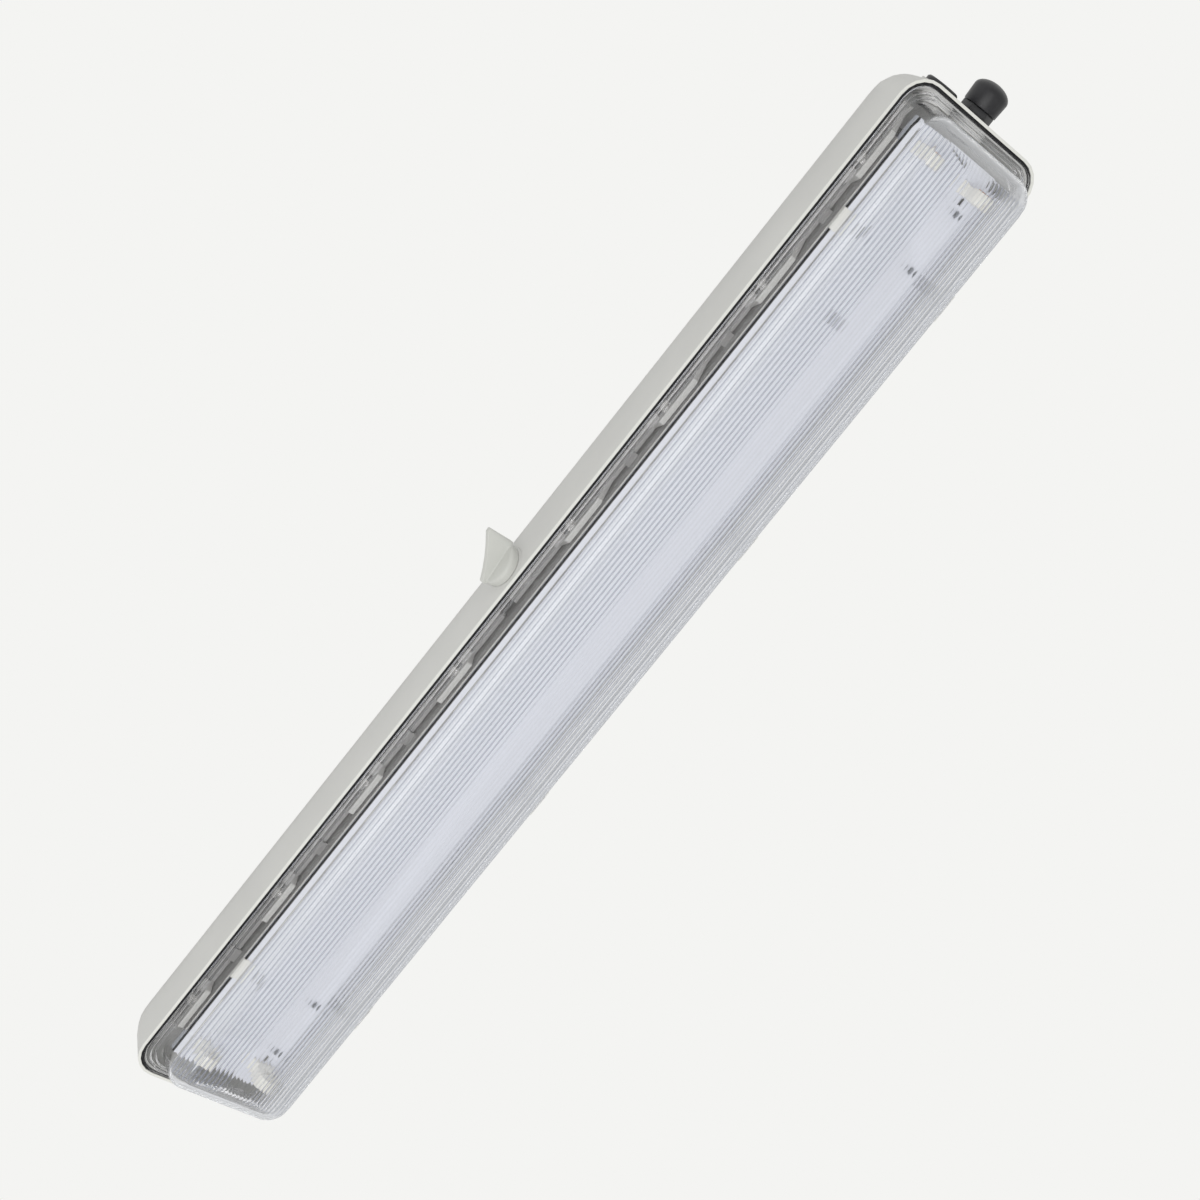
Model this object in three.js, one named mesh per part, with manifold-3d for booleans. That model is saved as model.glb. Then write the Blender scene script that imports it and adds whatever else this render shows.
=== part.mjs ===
// Vapor tight light fixture for two 1200 mm tubes: moulded housing, ribbed clear bowl, central lock.
// Millimetres. +Z points to the ceiling, +X to the cable gland, -Y to the lock. The origin is the
// centre of the flat back, so every depth below is measured downward from it.
import * as THREE from "three";
import { mergeVertices } from "three/addons/utils/BufferGeometryUtils.js";
import Module from "manifold-3d";

const wasm = await Module();
wasm.setup();

// Clearances and overruns shared by all pieces
const gap = 0.3;
const overrun = 1;
const sink = 0.5;

// Lampholders for tubes with two pins; their span sets the fixture's length
const holderSpan = 1209;
const lampInset = 22;
const lampHeight = 24;
const holderThickness = 14;
const holderRadius = 13;
const holderWaist = 10;
const holderWaistHeight = 6;
const rotorRadius = 7.5;
const rotorThickness = 5.4;
const rotorSlotWidth = 3;
const rotorSlotDepth = 3.4;
const pocketDepth = 6;
const contactWidth = 3;
const contactThickness = 0.6;
const contactLength = 9;
const contactSpacing = 7;

// Gear tray: folded sheet steel; its width sets the fixture's width
const trayWidth = 120;
const trayEndReach = 24.5;
const trayEndGap = 36;
const traySideGap = 2.5;
const sheet = 1;
const trayFoldHeight = 12;
const trayCornerNotch = 8;
const wingStep = 8;
const wingClearance = 1;
const wingEndInset = 11;
const wingLipHeight = 6;
const outerScrewInset = 49;
const innerScrewInset = 120;
const trayScrewInset = 18;
const trayBossRadius = 5;
const screwRadius = 2;
const screwLength = 14;
const screwHeadRadius = 4.2;
const screwCrownRadius = 3.4;
const screwHeadHeight = 2.4;
const screwRecessRadius = 2;
const screwRecessDepth = 1.4;
const traySlotLength = 14;
const traySlotWidth = 3.2;
const traySlotPitch = 7;
const traySlotInset = 123;
const traySlotSide = 34.5;
const wingSlotSide = 76;
const trayWindowInset = 205;
const trayWindowSide = 14;
const wireHoleRadius = 4;
const footSlotLength = 8;
const footSlotGap = 1.5;
const trayClipInset = 124;
const trayClipLength = 26;
const trayClipReach = 4;
const trayClipThickness = 1.6;

// Housing: a moulded tub, open downward
const rimCornerRadius = 31;
const backCornerRadius = 24;
const housingWall = 3;
const sideDraft = 6.5;
const endDraft = 10;
const sideBackRadius = 6;
const endBackRadius = 22;
const shelfReach = 10.5;
const shelfThickness = 3;
const shelfDepth = 50;
const rimOverlap = 0.7;

// Gasket: a foamed ring under the shelf
const gasketInset = 3.3;
const gasketWidth = 4;
const gasketHeight = 5.2;

// Bowl: flange, upright walls, round shoulders and a crowned front
const bowlWall = 2.5;
const flangeInset = 5.8;
const flangeThickness = 3;
const flangeBeadInset = 9;
const flangeBeadWidth = 2.4;
const flangeBeadHeight = 0.9;
const bowlWallInset = 18.5;
const bowlDraft = 1;
const lampClearance = 30.5;
const shoulderRadius = 18;
const crownRise = 6;
const crownEndSpan = 20;
const bowlCornerRadius = 28;
const bowlFrontCornerRadius = 12;

// Ribs on the bowl's front
const ribPitch = 5;
const ribWidth = 3.6;
const ribHeight = 0.8;
const ribRootDepth = 1.1;
const ribSideMargin = 6;
const ribRunOut = 4;
const ribEndShare = 0.25;

// Hooks of the bowl on the lock side
const firstHookOffset = 99;
const lastHookInset = 101;
const hooksPerSide = 4;
const hookGap = 3;
const hookWidth = 10;
const hookThickness = 4;
const hookHeight = 25;
const hookTipRadius = 3;
const hookStem = 4;

// Hinge on the far long side
const outerHingeInset = 165;
const innerHingeOffset = 180;
const hingePinRadius = 1.5;
const hingePinReach = 4;
const hingePinRecess = 1;
const hingeBarrelRadius = 3.6;
const knuckleWidth = 22;
const knuckleArmThickness = 2.8;
const knuckleArmGap = 0.7;
const earWidth = 5;
const earHeight = 20;

// Central lock: knob, shaft and pinion
const lockOffset = 19;
const lockDepth = 30;
const pinionTeeth = 10;
const pinionPitchRadius = 8;
const toothAddendum = 1.2;
const toothDedendum = 1.6;
const toothTipShare = 0.2;
const toothRootShare = 0.52;
const shaftRadius = 5;
const pivotRadius = 3;
const pivotLength = 3.4;
const shaftSealRadius = 7.7;
const shaftSealWidth = 3;
const lockBossRadius = 25;
const lockBossInset = 0.5;
const knobRadius = 23;
const knobBaseHeight = 10;
const knobFinLead = 27;
const knobFinTail = 25;
const knobFinReach = 30;
const knobFinThickness = 7;
const knobFinTipLength = 5;
const knobFinHeelHeight = 4;
const knobFinSagShare = 0.36;
const knobTurn = 10;
const knobRimRadius = 2;
const shaftGrip = 6;

// Lock bars: racks with wedge pads and catches
const barSideGap = 3;
const barWidth = 9.5;
const barHeight = 5.4;
const lockTravel = (pinionPitchRadius * Math.PI) / 2;
const padHeight = 10;
const padShortReach = 16;
const padLongReach = 36;
const padSlant = 10;
const padRamp = 25;
const catchReach = 6.5;
const catchHeight = 5;
const catchDrop = 2;
const catchTip = 4;
const catchTaper = 1.2;
const catchEntry = 0.5;
const barEndMargin = 8;
const rackEndMargin = 8;
const joggleRun = 14;
const joggleStart = 48;

// Rails and cleats that guide the lock bars
const railThickness = 2;
const railEndInset = 65;
const railRecess = 2.5;
const cleatWidth = 16;
const cleatShift = 12;
const cleatThickness = 3;
const cleatLipThickness = 2;
const cleatLipHeight = 5;

// Cable entries in the right end wall
const entryDepth = 30;
const glandSide = 4;
const entryPitch = 50;
const entryBossRadius = 22;
const entryBossInset = 2;
const entrySeatInset = 17;
const threadRadius = 12.3;
const washerRadius = 17;
const washerThickness = 2;
const glandFlangeRadius = 18.5;
const glandFlangeLength = 8.5;
const glandNeckRadius = 13.5;
const glandNeckLength = 19;
const capRadius = 20;
const capLength = 29;
const capWall = 3.5;
const capDomeShare = 0.4;
const plugHeadRadius = 18.5;
const plugHeadLength = 5.5;
const lockNutRadius = 18;
const lockNutLength = 5;
const threadLength = 22;

// Control gear behind the tray
const ballastLength = 280;
const ballastWidth = 40;
const ballastHeight = 28;
const ballastFoot = 12;
const ballastFootHeight = 1.5;
const terminalInset = 73;
const terminalLength = 30;
const terminalSideGap = 5.2;
const terminalHeight = 17;
const terminalWayCount = 3;
const terminalWayRadius = 1.9;
const wireRadius = 1.8;
const wireBend = 30;
const wireSpread = 8;
const wireLaneGap = 6.2;

// Slots in the back for ceiling screws
const fixingOffset = 400;
const fixingSlotLength = 18;
const fixingSlotWidth = 7;
const fixingPadLength = 40;
const fixingPadWidth = 26;
const fixingPadThickness = 3;

// Facets
const cornerSteps = 5;
const arcSteps = 4;
const shoulderSteps = 3;
const roundSteps = 24;
const smallRoundSteps = 12;
const wireSteps = 12;

// Places across the fixture, from the tray out to the housing's wall
const railOffset = trayWidth / 2 + traySideGap;
const barInnerOffset = railOffset + railThickness + barSideGap;
const barOuterOffset = barInnerOffset + barWidth;
const hookInnerOffset = barOuterOffset + hookGap;
const halfWidth = hookInnerOffset + bowlWallInset;
const hingeAxisSide = halfWidth + hingePinReach;
const lockBossReach = halfWidth - lockBossInset;
const wingReach = halfWidth - shelfReach - wingClearance;
const trayScrewSide = trayWidth / 2 - trayScrewInset;
const lampPitch = trayWidth - 2 * lampInset;
const wireLane = trayScrewSide - trayBossRadius - wireLaneGap - wireRadius;
const terminalWidth = 2 * (wireLane - wireRadius - terminalSideGap);

// Places along the fixture, from the lampholders out to the housing's ends
const trayHalfLength = holderSpan / 2 + trayEndReach;
const wingHalfLength = trayHalfLength - wingEndInset;
const halfLength = trayHalfLength + trayEndGap;
const lastHookOffset = halfLength - lastHookInset;
const outerHingeOffset = halfLength - outerHingeInset;
const hingeOffsets = [-outerHingeOffset, -innerHingeOffset, innerHingeOffset, outerHingeOffset];
const trayScrewOffsets = [
  outerScrewInset - trayHalfLength,
  innerScrewInset - trayHalfLength,
  trayHalfLength - innerScrewInset,
  trayHalfLength - outerScrewInset,
];
const entryBossReach = halfLength - entryBossInset;
const entrySeatInside = halfLength - entrySeatInset;
const plugSide = glandSide - entryPitch;
const terminalOffset = trayHalfLength - terminalInset;

// Depths, from the back down
const shelfUnderside = shelfDepth + shelfThickness;
const gasketTop = shelfUnderside + gap;
const flangeTop = gasketTop + gasketHeight + gap;
const flangeBottom = flangeTop + flangeThickness;
const rimDepth = flangeTop + rimOverlap;
const hingePinDepth = rimDepth - hingePinRecess;
const knuckleArmDepth = rimDepth + knuckleArmGap;
const trayFace = rimDepth;
const trayBack = trayFace - sheet;
const railDepth = rimDepth - railRecess;
const wingFace = trayFace - wingStep;
const wingBack = wingFace - sheet;
const barTop = lockDepth + pinionPitchRadius + toothDedendum;
const barBottom = barTop + barHeight;
const padDepth = barBottom + padHeight;
const catchTop = barBottom + catchDrop;
const lampAxisDepth = trayFace + lampHeight;
const overallHeight = lampAxisDepth + lampClearance;
const entryHoleRadius = threadRadius + gap;

// Turns a geometry into a manifold solid
function solid(geometry) {
  const bare = geometry.index ? geometry.toNonIndexed() : geometry.clone();
  bare.deleteAttribute("normal");
  bare.deleteAttribute("uv");
  const merged = mergeVertices(bare, 1e-4);
  return new wasm.Manifold(
    new wasm.Mesh({
      numProp: 3,
      vertProperties: merged.attributes.position.array,
      triVerts: new Uint32Array(merged.index.array),
    }),
  );
}

// Turns a manifold solid back into a geometry
function geometryOf(body) {
  const mesh = body.getMesh();
  const geometry = new THREE.BufferGeometry();
  geometry.setAttribute("position", new THREE.BufferAttribute(mesh.vertProperties, 3));
  geometry.setIndex(new THREE.BufferAttribute(mesh.triVerts, 1));
  return geometry;
}

// Joins and cuts: a base with lists of added and removed geometries
function carve(base, added, removed = []) {
  let body = solid(base);
  for (const piece of added) body = body.add(solid(piece));
  for (const piece of removed) body = body.subtract(solid(piece));
  return geometryOf(body);
}

// A box between two corners, given in any order
function block(x0, x1, y0, y1, z0, z1) {
  const box = new THREE.BoxGeometry(Math.abs(x1 - x0), Math.abs(y1 - y0), Math.abs(z1 - z0));
  return box.translate((x0 + x1) / 2, (y0 + y1) / 2, (z0 + z1) / 2);
}

// A round bar along Z, X or Y between two places on its axis
function barZ(radius, z0, z1, x, y, steps = roundSteps) {
  const rod = new THREE.CylinderGeometry(radius, radius, z1 - z0, steps);
  return rod.rotateX(Math.PI / 2).translate(x, y, (z0 + z1) / 2);
}
function barX(radius, x0, x1, y, z, steps = roundSteps) {
  const rod = new THREE.CylinderGeometry(radius, radius, Math.abs(x1 - x0), steps);
  return rod.rotateZ(Math.PI / 2).translate((x0 + x1) / 2, y, z);
}
function barY(radius, y0, y1, x, z, steps = roundSteps) {
  const rod = new THREE.CylinderGeometry(radius, radius, y1 - y0, steps);
  return rod.translate(x, (y0 + y1) / 2, z);
}

// An outline drawn in X and Z, given thickness from y0 to y1
function sideways(shape, y0, y1) {
  const options = { depth: y1 - y0, bevelEnabled: false, curveSegments: arcSteps };
  const plate = new THREE.ExtrudeGeometry(shape, options);
  return plate.rotateX(Math.PI / 2).translate(0, y1, 0);
}

// An outline drawn in Y and Z, given thickness from x0 to x1
function lengthwise(shape, x0, x1) {
  const options = { depth: Math.abs(x1 - x0), bevelEnabled: false, curveSegments: arcSteps };
  const plate = new THREE.ExtrudeGeometry(shape, options);
  return plate.rotateX(Math.PI / 2).rotateZ(Math.PI / 2).translate(Math.min(x0, x1), 0, 0);
}

// A closed outline from a list of corner points
function outline(points) {
  return new THREE.Shape(points.map(([a, b]) => new THREE.Vector2(a, b)));
}

// A ring of points round a rounded rectangle at one depth
function ring(halfX, halfY, radius, depth) {
  const points = [];
  const signs = [[1, 1], [-1, 1], [-1, -1], [1, -1]];
  signs.forEach(([sx, sy], quarter) => {
    for (let i = 0; i <= cornerSteps; i++) {
      const angle = ((quarter + i / cornerSteps) * Math.PI) / 2;
      points.push([
        sx * (halfX - radius) + radius * Math.cos(angle),
        sy * (halfY - radius) + radius * Math.sin(angle),
        -depth,
      ]);
    }
  });
  return points;
}

// A ring set in from the rim's outline by one distance
function insetRing(inset, depth, radius = rimCornerRadius - inset) {
  return ring(halfLength - inset, halfWidth - inset, radius, depth);
}

// Skins a list of rings: closed on itself, or capped at the first and the last ring
function loft(rings, closed) {
  const count = rings[0].length;
  const vertices = rings.flat();
  const faces = [];
  const spans = closed ? rings.length : rings.length - 1;
  for (let k = 0; k < spans; k++) {
    const upper = k * count;
    const lower = ((k + 1) % rings.length) * count;
    for (let i = 0; i < count; i++) {
      const j = (i + 1) % count;
      faces.push(upper + i, lower + i, lower + j, upper + i, lower + j, upper + j);
    }
  }
  if (!closed) {
    const last = (rings.length - 1) * count;
    for (let i = 1; i < count - 1; i++) {
      faces.push(0, i, i + 1);
      faces.push(last, last + i + 1, last + i);
    }
  }
  const geometry = new THREE.BufferGeometry();
  geometry.setAttribute("position", new THREE.Float32BufferAttribute(vertices.flat(), 3));
  geometry.setIndex(faces);
  return geometry;
}

// How far an edge rounding draws a wall in at a depth below the edge
function edgeInset(depth, radius) {
  return depth >= radius ? 0 : radius - Math.sqrt(radius * radius - (radius - depth) ** 2);
}

// The housing's outline at a depth, for the outer skin or the inner one
function housingRing(depth, wall) {
  const slope = 1 - depth / rimDepth;
  const insetX = wall + endDraft * slope + edgeInset(depth - wall, endBackRadius - wall);
  const insetY = wall + sideDraft * slope + edgeInset(depth - wall, sideBackRadius - wall);
  const radius = rimCornerRadius + (backCornerRadius - rimCornerRadius) * slope - wall;
  return ring(halfLength - insetX, halfWidth - insetY, radius, depth);
}

// Places of the housing's drafted outer faces
const sideFace = (depth) => halfWidth - sideDraft * (1 - depth / rimDepth);
const endFace = (depth) => halfLength - endDraft * (1 - depth / rimDepth);

// Centres of the hooks, from the left end to the right
const hookOffsets = [];
const hookPitch = (lastHookOffset - firstHookOffset) / (hooksPerSide - 1);
for (let i = hooksPerSide - 1; i >= 0; i--) hookOffsets.push(-firstHookOffset - i * hookPitch);
for (let i = 0; i < hooksPerSide; i++) hookOffsets.push(firstHookOffset + i * hookPitch);

// Depths of an edge rounding, from the face down to the wall
function roundDepths(start, radius) {
  return Array.from({ length: arcSteps + 1 }, (_, i) => {
    return start + radius * (1 - Math.cos((i / arcSteps) * (Math.PI / 2)));
  });
}

// Housing: tub with lip and gasket shelf, rails, cleats, bosses and hinge ears
function makeHousing() {
  const outer = roundDepths(0, endBackRadius).map((depth) => housingRing(depth, 0));
  const skin = loft([...outer, insetRing(0, rimDepth)], false);
  const tub = carve(skin, [lockBoss()], [housingCavity()]);
  const guides = [...housingRails(), ...housingCleats(), ...trayClips()];
  const bosses = [...hingeEars(), ...fixingPads(), ...trayBosses(), ...entryBosses()];
  const bores = [...shaftBores(), ...entryHoles(), ...fixingSlots(), ...pinHoles(), ...trayScrewHoles()];
  return carve(tub, [...guides, ...bosses], bores);
}

// The space inside the tub, with the shelf that the gasket rests against
function housingCavity() {
  const depths = [...roundDepths(housingWall, endBackRadius - housingWall), shelfDepth];
  return loft(
    [
      ...depths.map((depth) => housingRing(depth, housingWall)),
      insetRing(shelfReach, shelfDepth),
      insetRing(shelfReach, shelfUnderside),
      insetRing(housingWall, shelfUnderside),
      insetRing(housingWall, rimDepth + overrun),
    ],
    false,
  );
}

// Flat round boss outside the wall, for the knob
function lockBoss() {
  const top = lockDepth - lockBossRadius;
  return barY(lockBossRadius, -lockBossReach, housingWall - sideFace(top), lockOffset, -lockDepth);
}

// Bosses of the cable entries, flat outside and inside
function entryBosses() {
  return [glandSide, plugSide].map((side) =>
    barX(entryBossRadius, entrySeatInside, entryBossReach, side, -entryDepth),
  );
}

// Bores for the lock's shaft, its seal and its inner pivot
function shaftBores() {
  const outside = -lockBossReach - overrun;
  return [
    barY(shaftRadius + gap, outside, -barOuterOffset, lockOffset, -lockDepth),
    barY(shaftSealRadius + gap, outside, shaftSealWidth + gap - lockBossReach, lockOffset, -lockDepth),
    barY(pivotRadius + gap, -barInnerOffset, overrun - railOffset, lockOffset, -lockDepth),
  ];
}

// Posts that the tray is screwed to
function trayBosses() {
  return trayScrewOffsets.map((x) =>
    barZ(trayBossRadius, gap - trayBack, sink - housingWall, x, trayScrewSide, smallRoundSteps),
  );
}

// Blind holes up into the posts
function trayScrewHoles() {
  const top = screwLength + overrun - trayFace;
  return trayScrewOffsets.map((x) =>
    barZ(screwRadius + gap, -trayFace, top, x, trayScrewSide, smallRoundSteps),
  );
}

// Thicker places round the ceiling slots
function fixingPads() {
  return [-fixingOffset, fixingOffset].map((x) =>
    block(x - fixingPadLength / 2, x + fixingPadLength / 2, -fixingPadWidth / 2, fixingPadWidth / 2,
      -housingWall - fixingPadThickness, sink - housingWall),
  );
}

// Two long rails: one beside the gear tray on the lock side, one behind its wing
function housingRails() {
  const half = halfLength - railEndInset;
  const outer = railOffset + railThickness;
  return [
    block(-half, half, -outer, -railOffset, -railDepth, sink - housingWall),
    block(-half, half, railOffset, outer, gap - wingBack, sink - housingWall),
  ];
}

// Clips on the lock side's rail, which the tray's edge rests on
function trayClips() {
  const outer = -railOffset - railThickness;
  const lip = -trayFace - gap;
  return [-1, 1].flatMap((end) => {
    const x0 = end * (trayHalfLength - trayClipInset) - trayClipLength / 2;
    const x1 = x0 + trayClipLength;
    return [
      block(x0, x1, outer, -railOffset, lip - sink, sink - railDepth),
      block(x0, x1, outer, trayClipReach - trayWidth / 2, lip - trayClipThickness, lip),
    ];
  });
}

// Cleats between the hooks, which carry the lock bars
function housingCleats() {
  const cleats = [];
  const top = -barBottom - gap;
  const lipFace = -barOuterOffset - gap;
  const outer = lipFace - cleatLipThickness;
  for (let i = 0; i + 1 < hookOffsets.length; i++) {
    const middle = (hookOffsets[i] + hookOffsets[i + 1]) / 2;
    if (Math.abs(middle) < firstHookOffset) continue;
    const x0 = middle + Math.sign(middle) * cleatShift - cleatWidth / 2;
    cleats.push(
      block(x0, x0 + cleatWidth, outer, sink - railOffset - railThickness, top - cleatThickness, top),
      block(x0, x0 + cleatWidth, outer, lipFace, top - sink, top + cleatLipHeight),
    );
  }
  return cleats;
}

// Ears of the hinge, two for each knuckle
function hingeEars() {
  const ear = new THREE.Shape();
  const root = halfWidth - housingWall / 2;
  ear.moveTo(root, -hingePinDepth);
  ear.lineTo(hingeAxisSide - hingeBarrelRadius, -hingePinDepth);
  ear.absarc(hingeAxisSide, -hingePinDepth, hingeBarrelRadius, Math.PI, Math.PI * 2, false);
  ear.lineTo(hingeAxisSide + hingeBarrelRadius, -hingePinDepth + hingeBarrelRadius);
  ear.lineTo(root, -hingePinDepth + earHeight);
  const near = knuckleWidth / 2 + gap;
  const far = near + earWidth;
  return hingeOffsets.flatMap((x) => [-1, 1].map((side) => lengthwise(ear, x + side * near, x + side * far)));
}

// Bores of the hinge ears
function pinHoles() {
  const half = knuckleWidth / 2 + gap + earWidth + overrun;
  return hingeOffsets.map((x) =>
    barX(hingePinRadius + gap, x - half, x + half, hingeAxisSide, -hingePinDepth, smallRoundSteps),
  );
}

// Bores of the cable entries
function entryHoles() {
  return [glandSide, plugSide].map((side) =>
    barX(entryHoleRadius, entrySeatInside - overrun, entryBossReach + overrun, side, -entryDepth),
  );
}

// Slots for the ceiling screws
function fixingSlots() {
  return [-fixingOffset, fixingOffset].map((x) =>
    block(x - fixingSlotLength / 2, x + fixingSlotLength / 2, -fixingSlotWidth / 2, fixingSlotWidth / 2,
      -housingWall - fixingPadThickness - overrun, overrun),
  );
}

// Gasket: a square ring between the shelf and the bowl's flange
function makeGasket() {
  const inner = gasketInset + gasketWidth;
  const bottom = gasketTop + gasketHeight;
  const corners = [[gasketInset, gasketTop], [gasketInset, bottom], [inner, bottom], [inner, gasketTop]];
  return loft(corners.map(([inset, depth]) => insetRing(inset, depth)), true);
}

// The bowl's crown: depths from its edge, share 0, to the middle line, share 1
const crownStart = bowlWallInset + bowlDraft + shoulderRadius;
const crownSpan = halfWidth - crownStart;
const crownReach = halfLength - crownStart;
const crownDepth = (share) => overallHeight - crownRise * (1 - share) ** 2;
const crownShares = [0.32, 0.78];

// Rings of one skin of the bowl, from the wall's foot to the crown
function bowlSkin(wall) {
  const rings = [];
  const cornerAt = (share) => bowlCornerRadius + (bowlFrontCornerRadius - bowlCornerRadius) * share - wall;
  const radius = shoulderRadius - wall;
  const centre = crownDepth(0) - shoulderRadius;
  for (let i = 0; i <= shoulderSteps; i++) {
    const share = i / shoulderSteps;
    const angle = (share * Math.PI) / 2;
    const inset = crownStart - radius * Math.cos(angle);
    rings.push(insetRing(inset, centre + radius * Math.sin(angle), cornerAt(share)));
  }
  for (const share of crownShares) {
    const half = crownSpan * (1 - share);
    const corner = Math.min(bowlFrontCornerRadius - wall, half / 2);
    rings.push(ring(crownReach - crownEndSpan * share, half, corner, crownDepth(share) - wall));
  }
  return rings;
}

// Bowl: flange with beads, walls and crown, then ribs, hooks and knuckles
function makeBowl() {
  const innerFoot = bowlWallInset + bowlWall;
  const beadInner = flangeBeadInset + flangeBeadWidth;
  const beadBottom = flangeBottom + flangeBeadHeight;
  const corner = (inset) => Math.max(rimCornerRadius - inset, bowlCornerRadius - bowlWall);
  const shell = loft(
    [
      ...bowlSkin(bowlWall).reverse(),
      insetRing(innerFoot, flangeTop, bowlCornerRadius - bowlWall),
      insetRing(flangeInset, flangeTop),
      insetRing(flangeInset, flangeBottom),
      insetRing(flangeBeadInset, flangeBottom, corner(flangeBeadInset)),
      insetRing(flangeBeadInset, beadBottom, corner(flangeBeadInset)),
      insetRing(beadInner, beadBottom, corner(beadInner)),
      insetRing(beadInner, flangeBottom, corner(beadInner)),
      insetRing(bowlWallInset, flangeBottom, bowlCornerRadius),
      ...bowlSkin(0),
    ],
    false,
  );
  return carve(shell, [...bowlRibs(), ...bowlHooks(), ...bowlKnuckles()], knuckleBores());
}

// Ribs side by side over the crown
function bowlRibs() {
  const perSide = Math.floor((crownSpan - ribSideMargin) / ribPitch);
  return Array.from({ length: 2 * perSide + 1 }, (_, i) => makeRib((i - perSide) * ribPitch));
}

// A rib with a three-cornered section that follows the crown and runs out at both ends
function makeRib(y) {
  const share = 1 - Math.abs(y) / crownSpan;
  const reach = crownReach - edgeInset(crownSpan - Math.abs(y), bowlFrontCornerRadius);
  const full = Math.min(reach - ribRunOut, crownReach - crownEndSpan * share);
  const bends = crownShares.filter((bend) => bend < share && crownReach - crownEndSpan * bend > full);
  const right = [
    [reach, crownDepth(0), ribHeight * ribEndShare],
    ...bends.map((bend) => [crownReach - crownEndSpan * bend, crownDepth(bend), ribHeight]),
    [full, crownDepth(share), ribHeight],
  ];
  const left = right.map(([x, depth, height]) => [-x, depth, height]).reverse();
  const rows = [...right, ...left].map(([x, depth, height]) => [
    [x, y - ribWidth / 2, ribRootDepth - depth],
    [x, y, -depth - height],
    [x, y + ribWidth / 2, ribRootDepth - depth],
  ]);
  return loft(rows, false);
}

// Hooks: clear fingers on the flange, with a notch that a catch of the lock bar enters
function bowlHooks() {
  const notchTop = gap - catchTop;
  const notchBottom = -catchTop - catchHeight - 2 * gap;
  return hookOffsets.map((x) => {
    const open = -Math.sign(x);
    const half = hookWidth / 2;
    const top = hookHeight - flangeTop;
    const stem = x - open * (half - hookStem);
    const hook = outline([
      [x - open * half, -flangeTop - sink],
      [x - open * half, top - hookTipRadius],
      [x - open * (half - hookTipRadius), top],
      [x + open * (half - hookTipRadius), top],
      [x + open * half, top - hookTipRadius],
      [x + open * half, notchTop],
      [stem, notchTop],
      [stem, notchBottom],
      [x + open * half, notchBottom],
      [x + open * half, -flangeTop - sink],
    ]);
    return sideways(hook, -hookInnerOffset - hookThickness, -hookInnerOffset);
  });
}

// Knuckles of the hinge: an arm under the housing's lip and a barrel round the pin
function bowlKnuckles() {
  const half = knuckleWidth / 2;
  return hingeOffsets.flatMap((x) => [
    block(x - half, x + half, halfWidth - flangeBeadInset, hingeAxisSide,
      -knuckleArmDepth - knuckleArmThickness, -knuckleArmDepth),
    barX(hingeBarrelRadius, x - half, x + half, hingeAxisSide, -hingePinDepth, smallRoundSteps),
  ]);
}

// Bores of the knuckles
function knuckleBores() {
  const half = knuckleWidth / 2 + overrun;
  return hingeOffsets.map((x) =>
    barX(hingePinRadius + gap, x - half, x + half, hingeAxisSide, -hingePinDepth, smallRoundSteps),
  );
}

// Hinge pin: a steel rod through two ears and one knuckle
function makeHingePin(x) {
  const half = knuckleWidth / 2 + gap + earWidth;
  return barX(hingePinRadius, x - half, x + half, hingeAxisSide, -hingePinDepth, smallRoundSteps);
}

// One tooth as four points: a radius or level, and a place as a share of the half pitch
const toothSteps = (root, tip) => [
  [root, -toothRootShare],
  [tip, -toothTipShare],
  [tip, toothTipShare],
  [root, toothRootShare],
];

// Teeth of the pinion as an outline round the shaft's axis
function pinionOutline() {
  const pitchAngle = (2 * Math.PI) / pinionTeeth;
  const tip = pinionPitchRadius + toothAddendum;
  const root = pinionPitchRadius - toothDedendum;
  const points = [];
  for (let i = 0; i < pinionTeeth; i++)
    for (const [radius, share] of toothSteps(root, tip)) {
      const angle = (i + share / 2) * pitchAngle;
      points.push([lockOffset + radius * Math.cos(angle), -lockDepth + radius * Math.sin(angle)]);
    }
  return outline(points);
}

// Pinion in one piece with its shaft and inner pivot
function makePinion() {
  const inner = -barInnerOffset + gap;
  const outer = -barOuterOffset - gap;
  return carve(sideways(pinionOutline(), outer, inner), [
    barY(shaftRadius, -lockBossReach - shaftGrip, outer + sink, lockOffset, -lockDepth),
    barY(pivotRadius, inner - sink, inner + pivotLength, lockOffset, -lockDepth),
  ]);
}

// Knob: a round base with a long hollowed fin, bored for the shaft
function makeKnob() {
  const seat = -lockBossReach - gap;
  const floor = seat - shaftGrip - gap;
  const profile = [
    new THREE.Vector2(0, 0),
    new THREE.Vector2(knobRadius, 0),
    new THREE.Vector2(knobRadius, knobBaseHeight - knobRimRadius),
    new THREE.Vector2(knobRadius - knobRimRadius, knobBaseHeight),
    new THREE.Vector2(0, knobBaseHeight),
  ];
  const base = new THREE.LatheGeometry(profile, roundSteps);
  const root = knobBaseHeight - knobRimRadius;
  const heel = knobBaseHeight + knobFinHeelHeight;
  const sag = heel + (knobFinReach - knobFinHeelHeight) * knobFinSagShare;
  const fin = new THREE.Shape();
  fin.moveTo(-knobFinTail, root);
  fin.lineTo(knobFinLead, root);
  fin.lineTo(knobFinLead, knobBaseHeight + knobFinReach);
  fin.lineTo(knobFinLead - knobFinTipLength, knobBaseHeight + knobFinReach);
  fin.quadraticCurveTo(0, sag, -knobFinTail, heel);
  const options = { depth: knobFinThickness, bevelEnabled: false, curveSegments: arcSteps };
  const blade = new THREE.ExtrudeGeometry(fin, options);
  blade.translate(0, 0, -knobFinThickness / 2);
  const knob = carve(base, [blade], []);
  knob.rotateX(Math.PI).rotateY((-knobTurn * Math.PI) / 180).translate(lockOffset, seat, -lockDepth);
  return carve(knob, [], [barY(shaftRadius + gap, floor, seat + overrun, lockOffset, -lockDepth)]);
}

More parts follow.
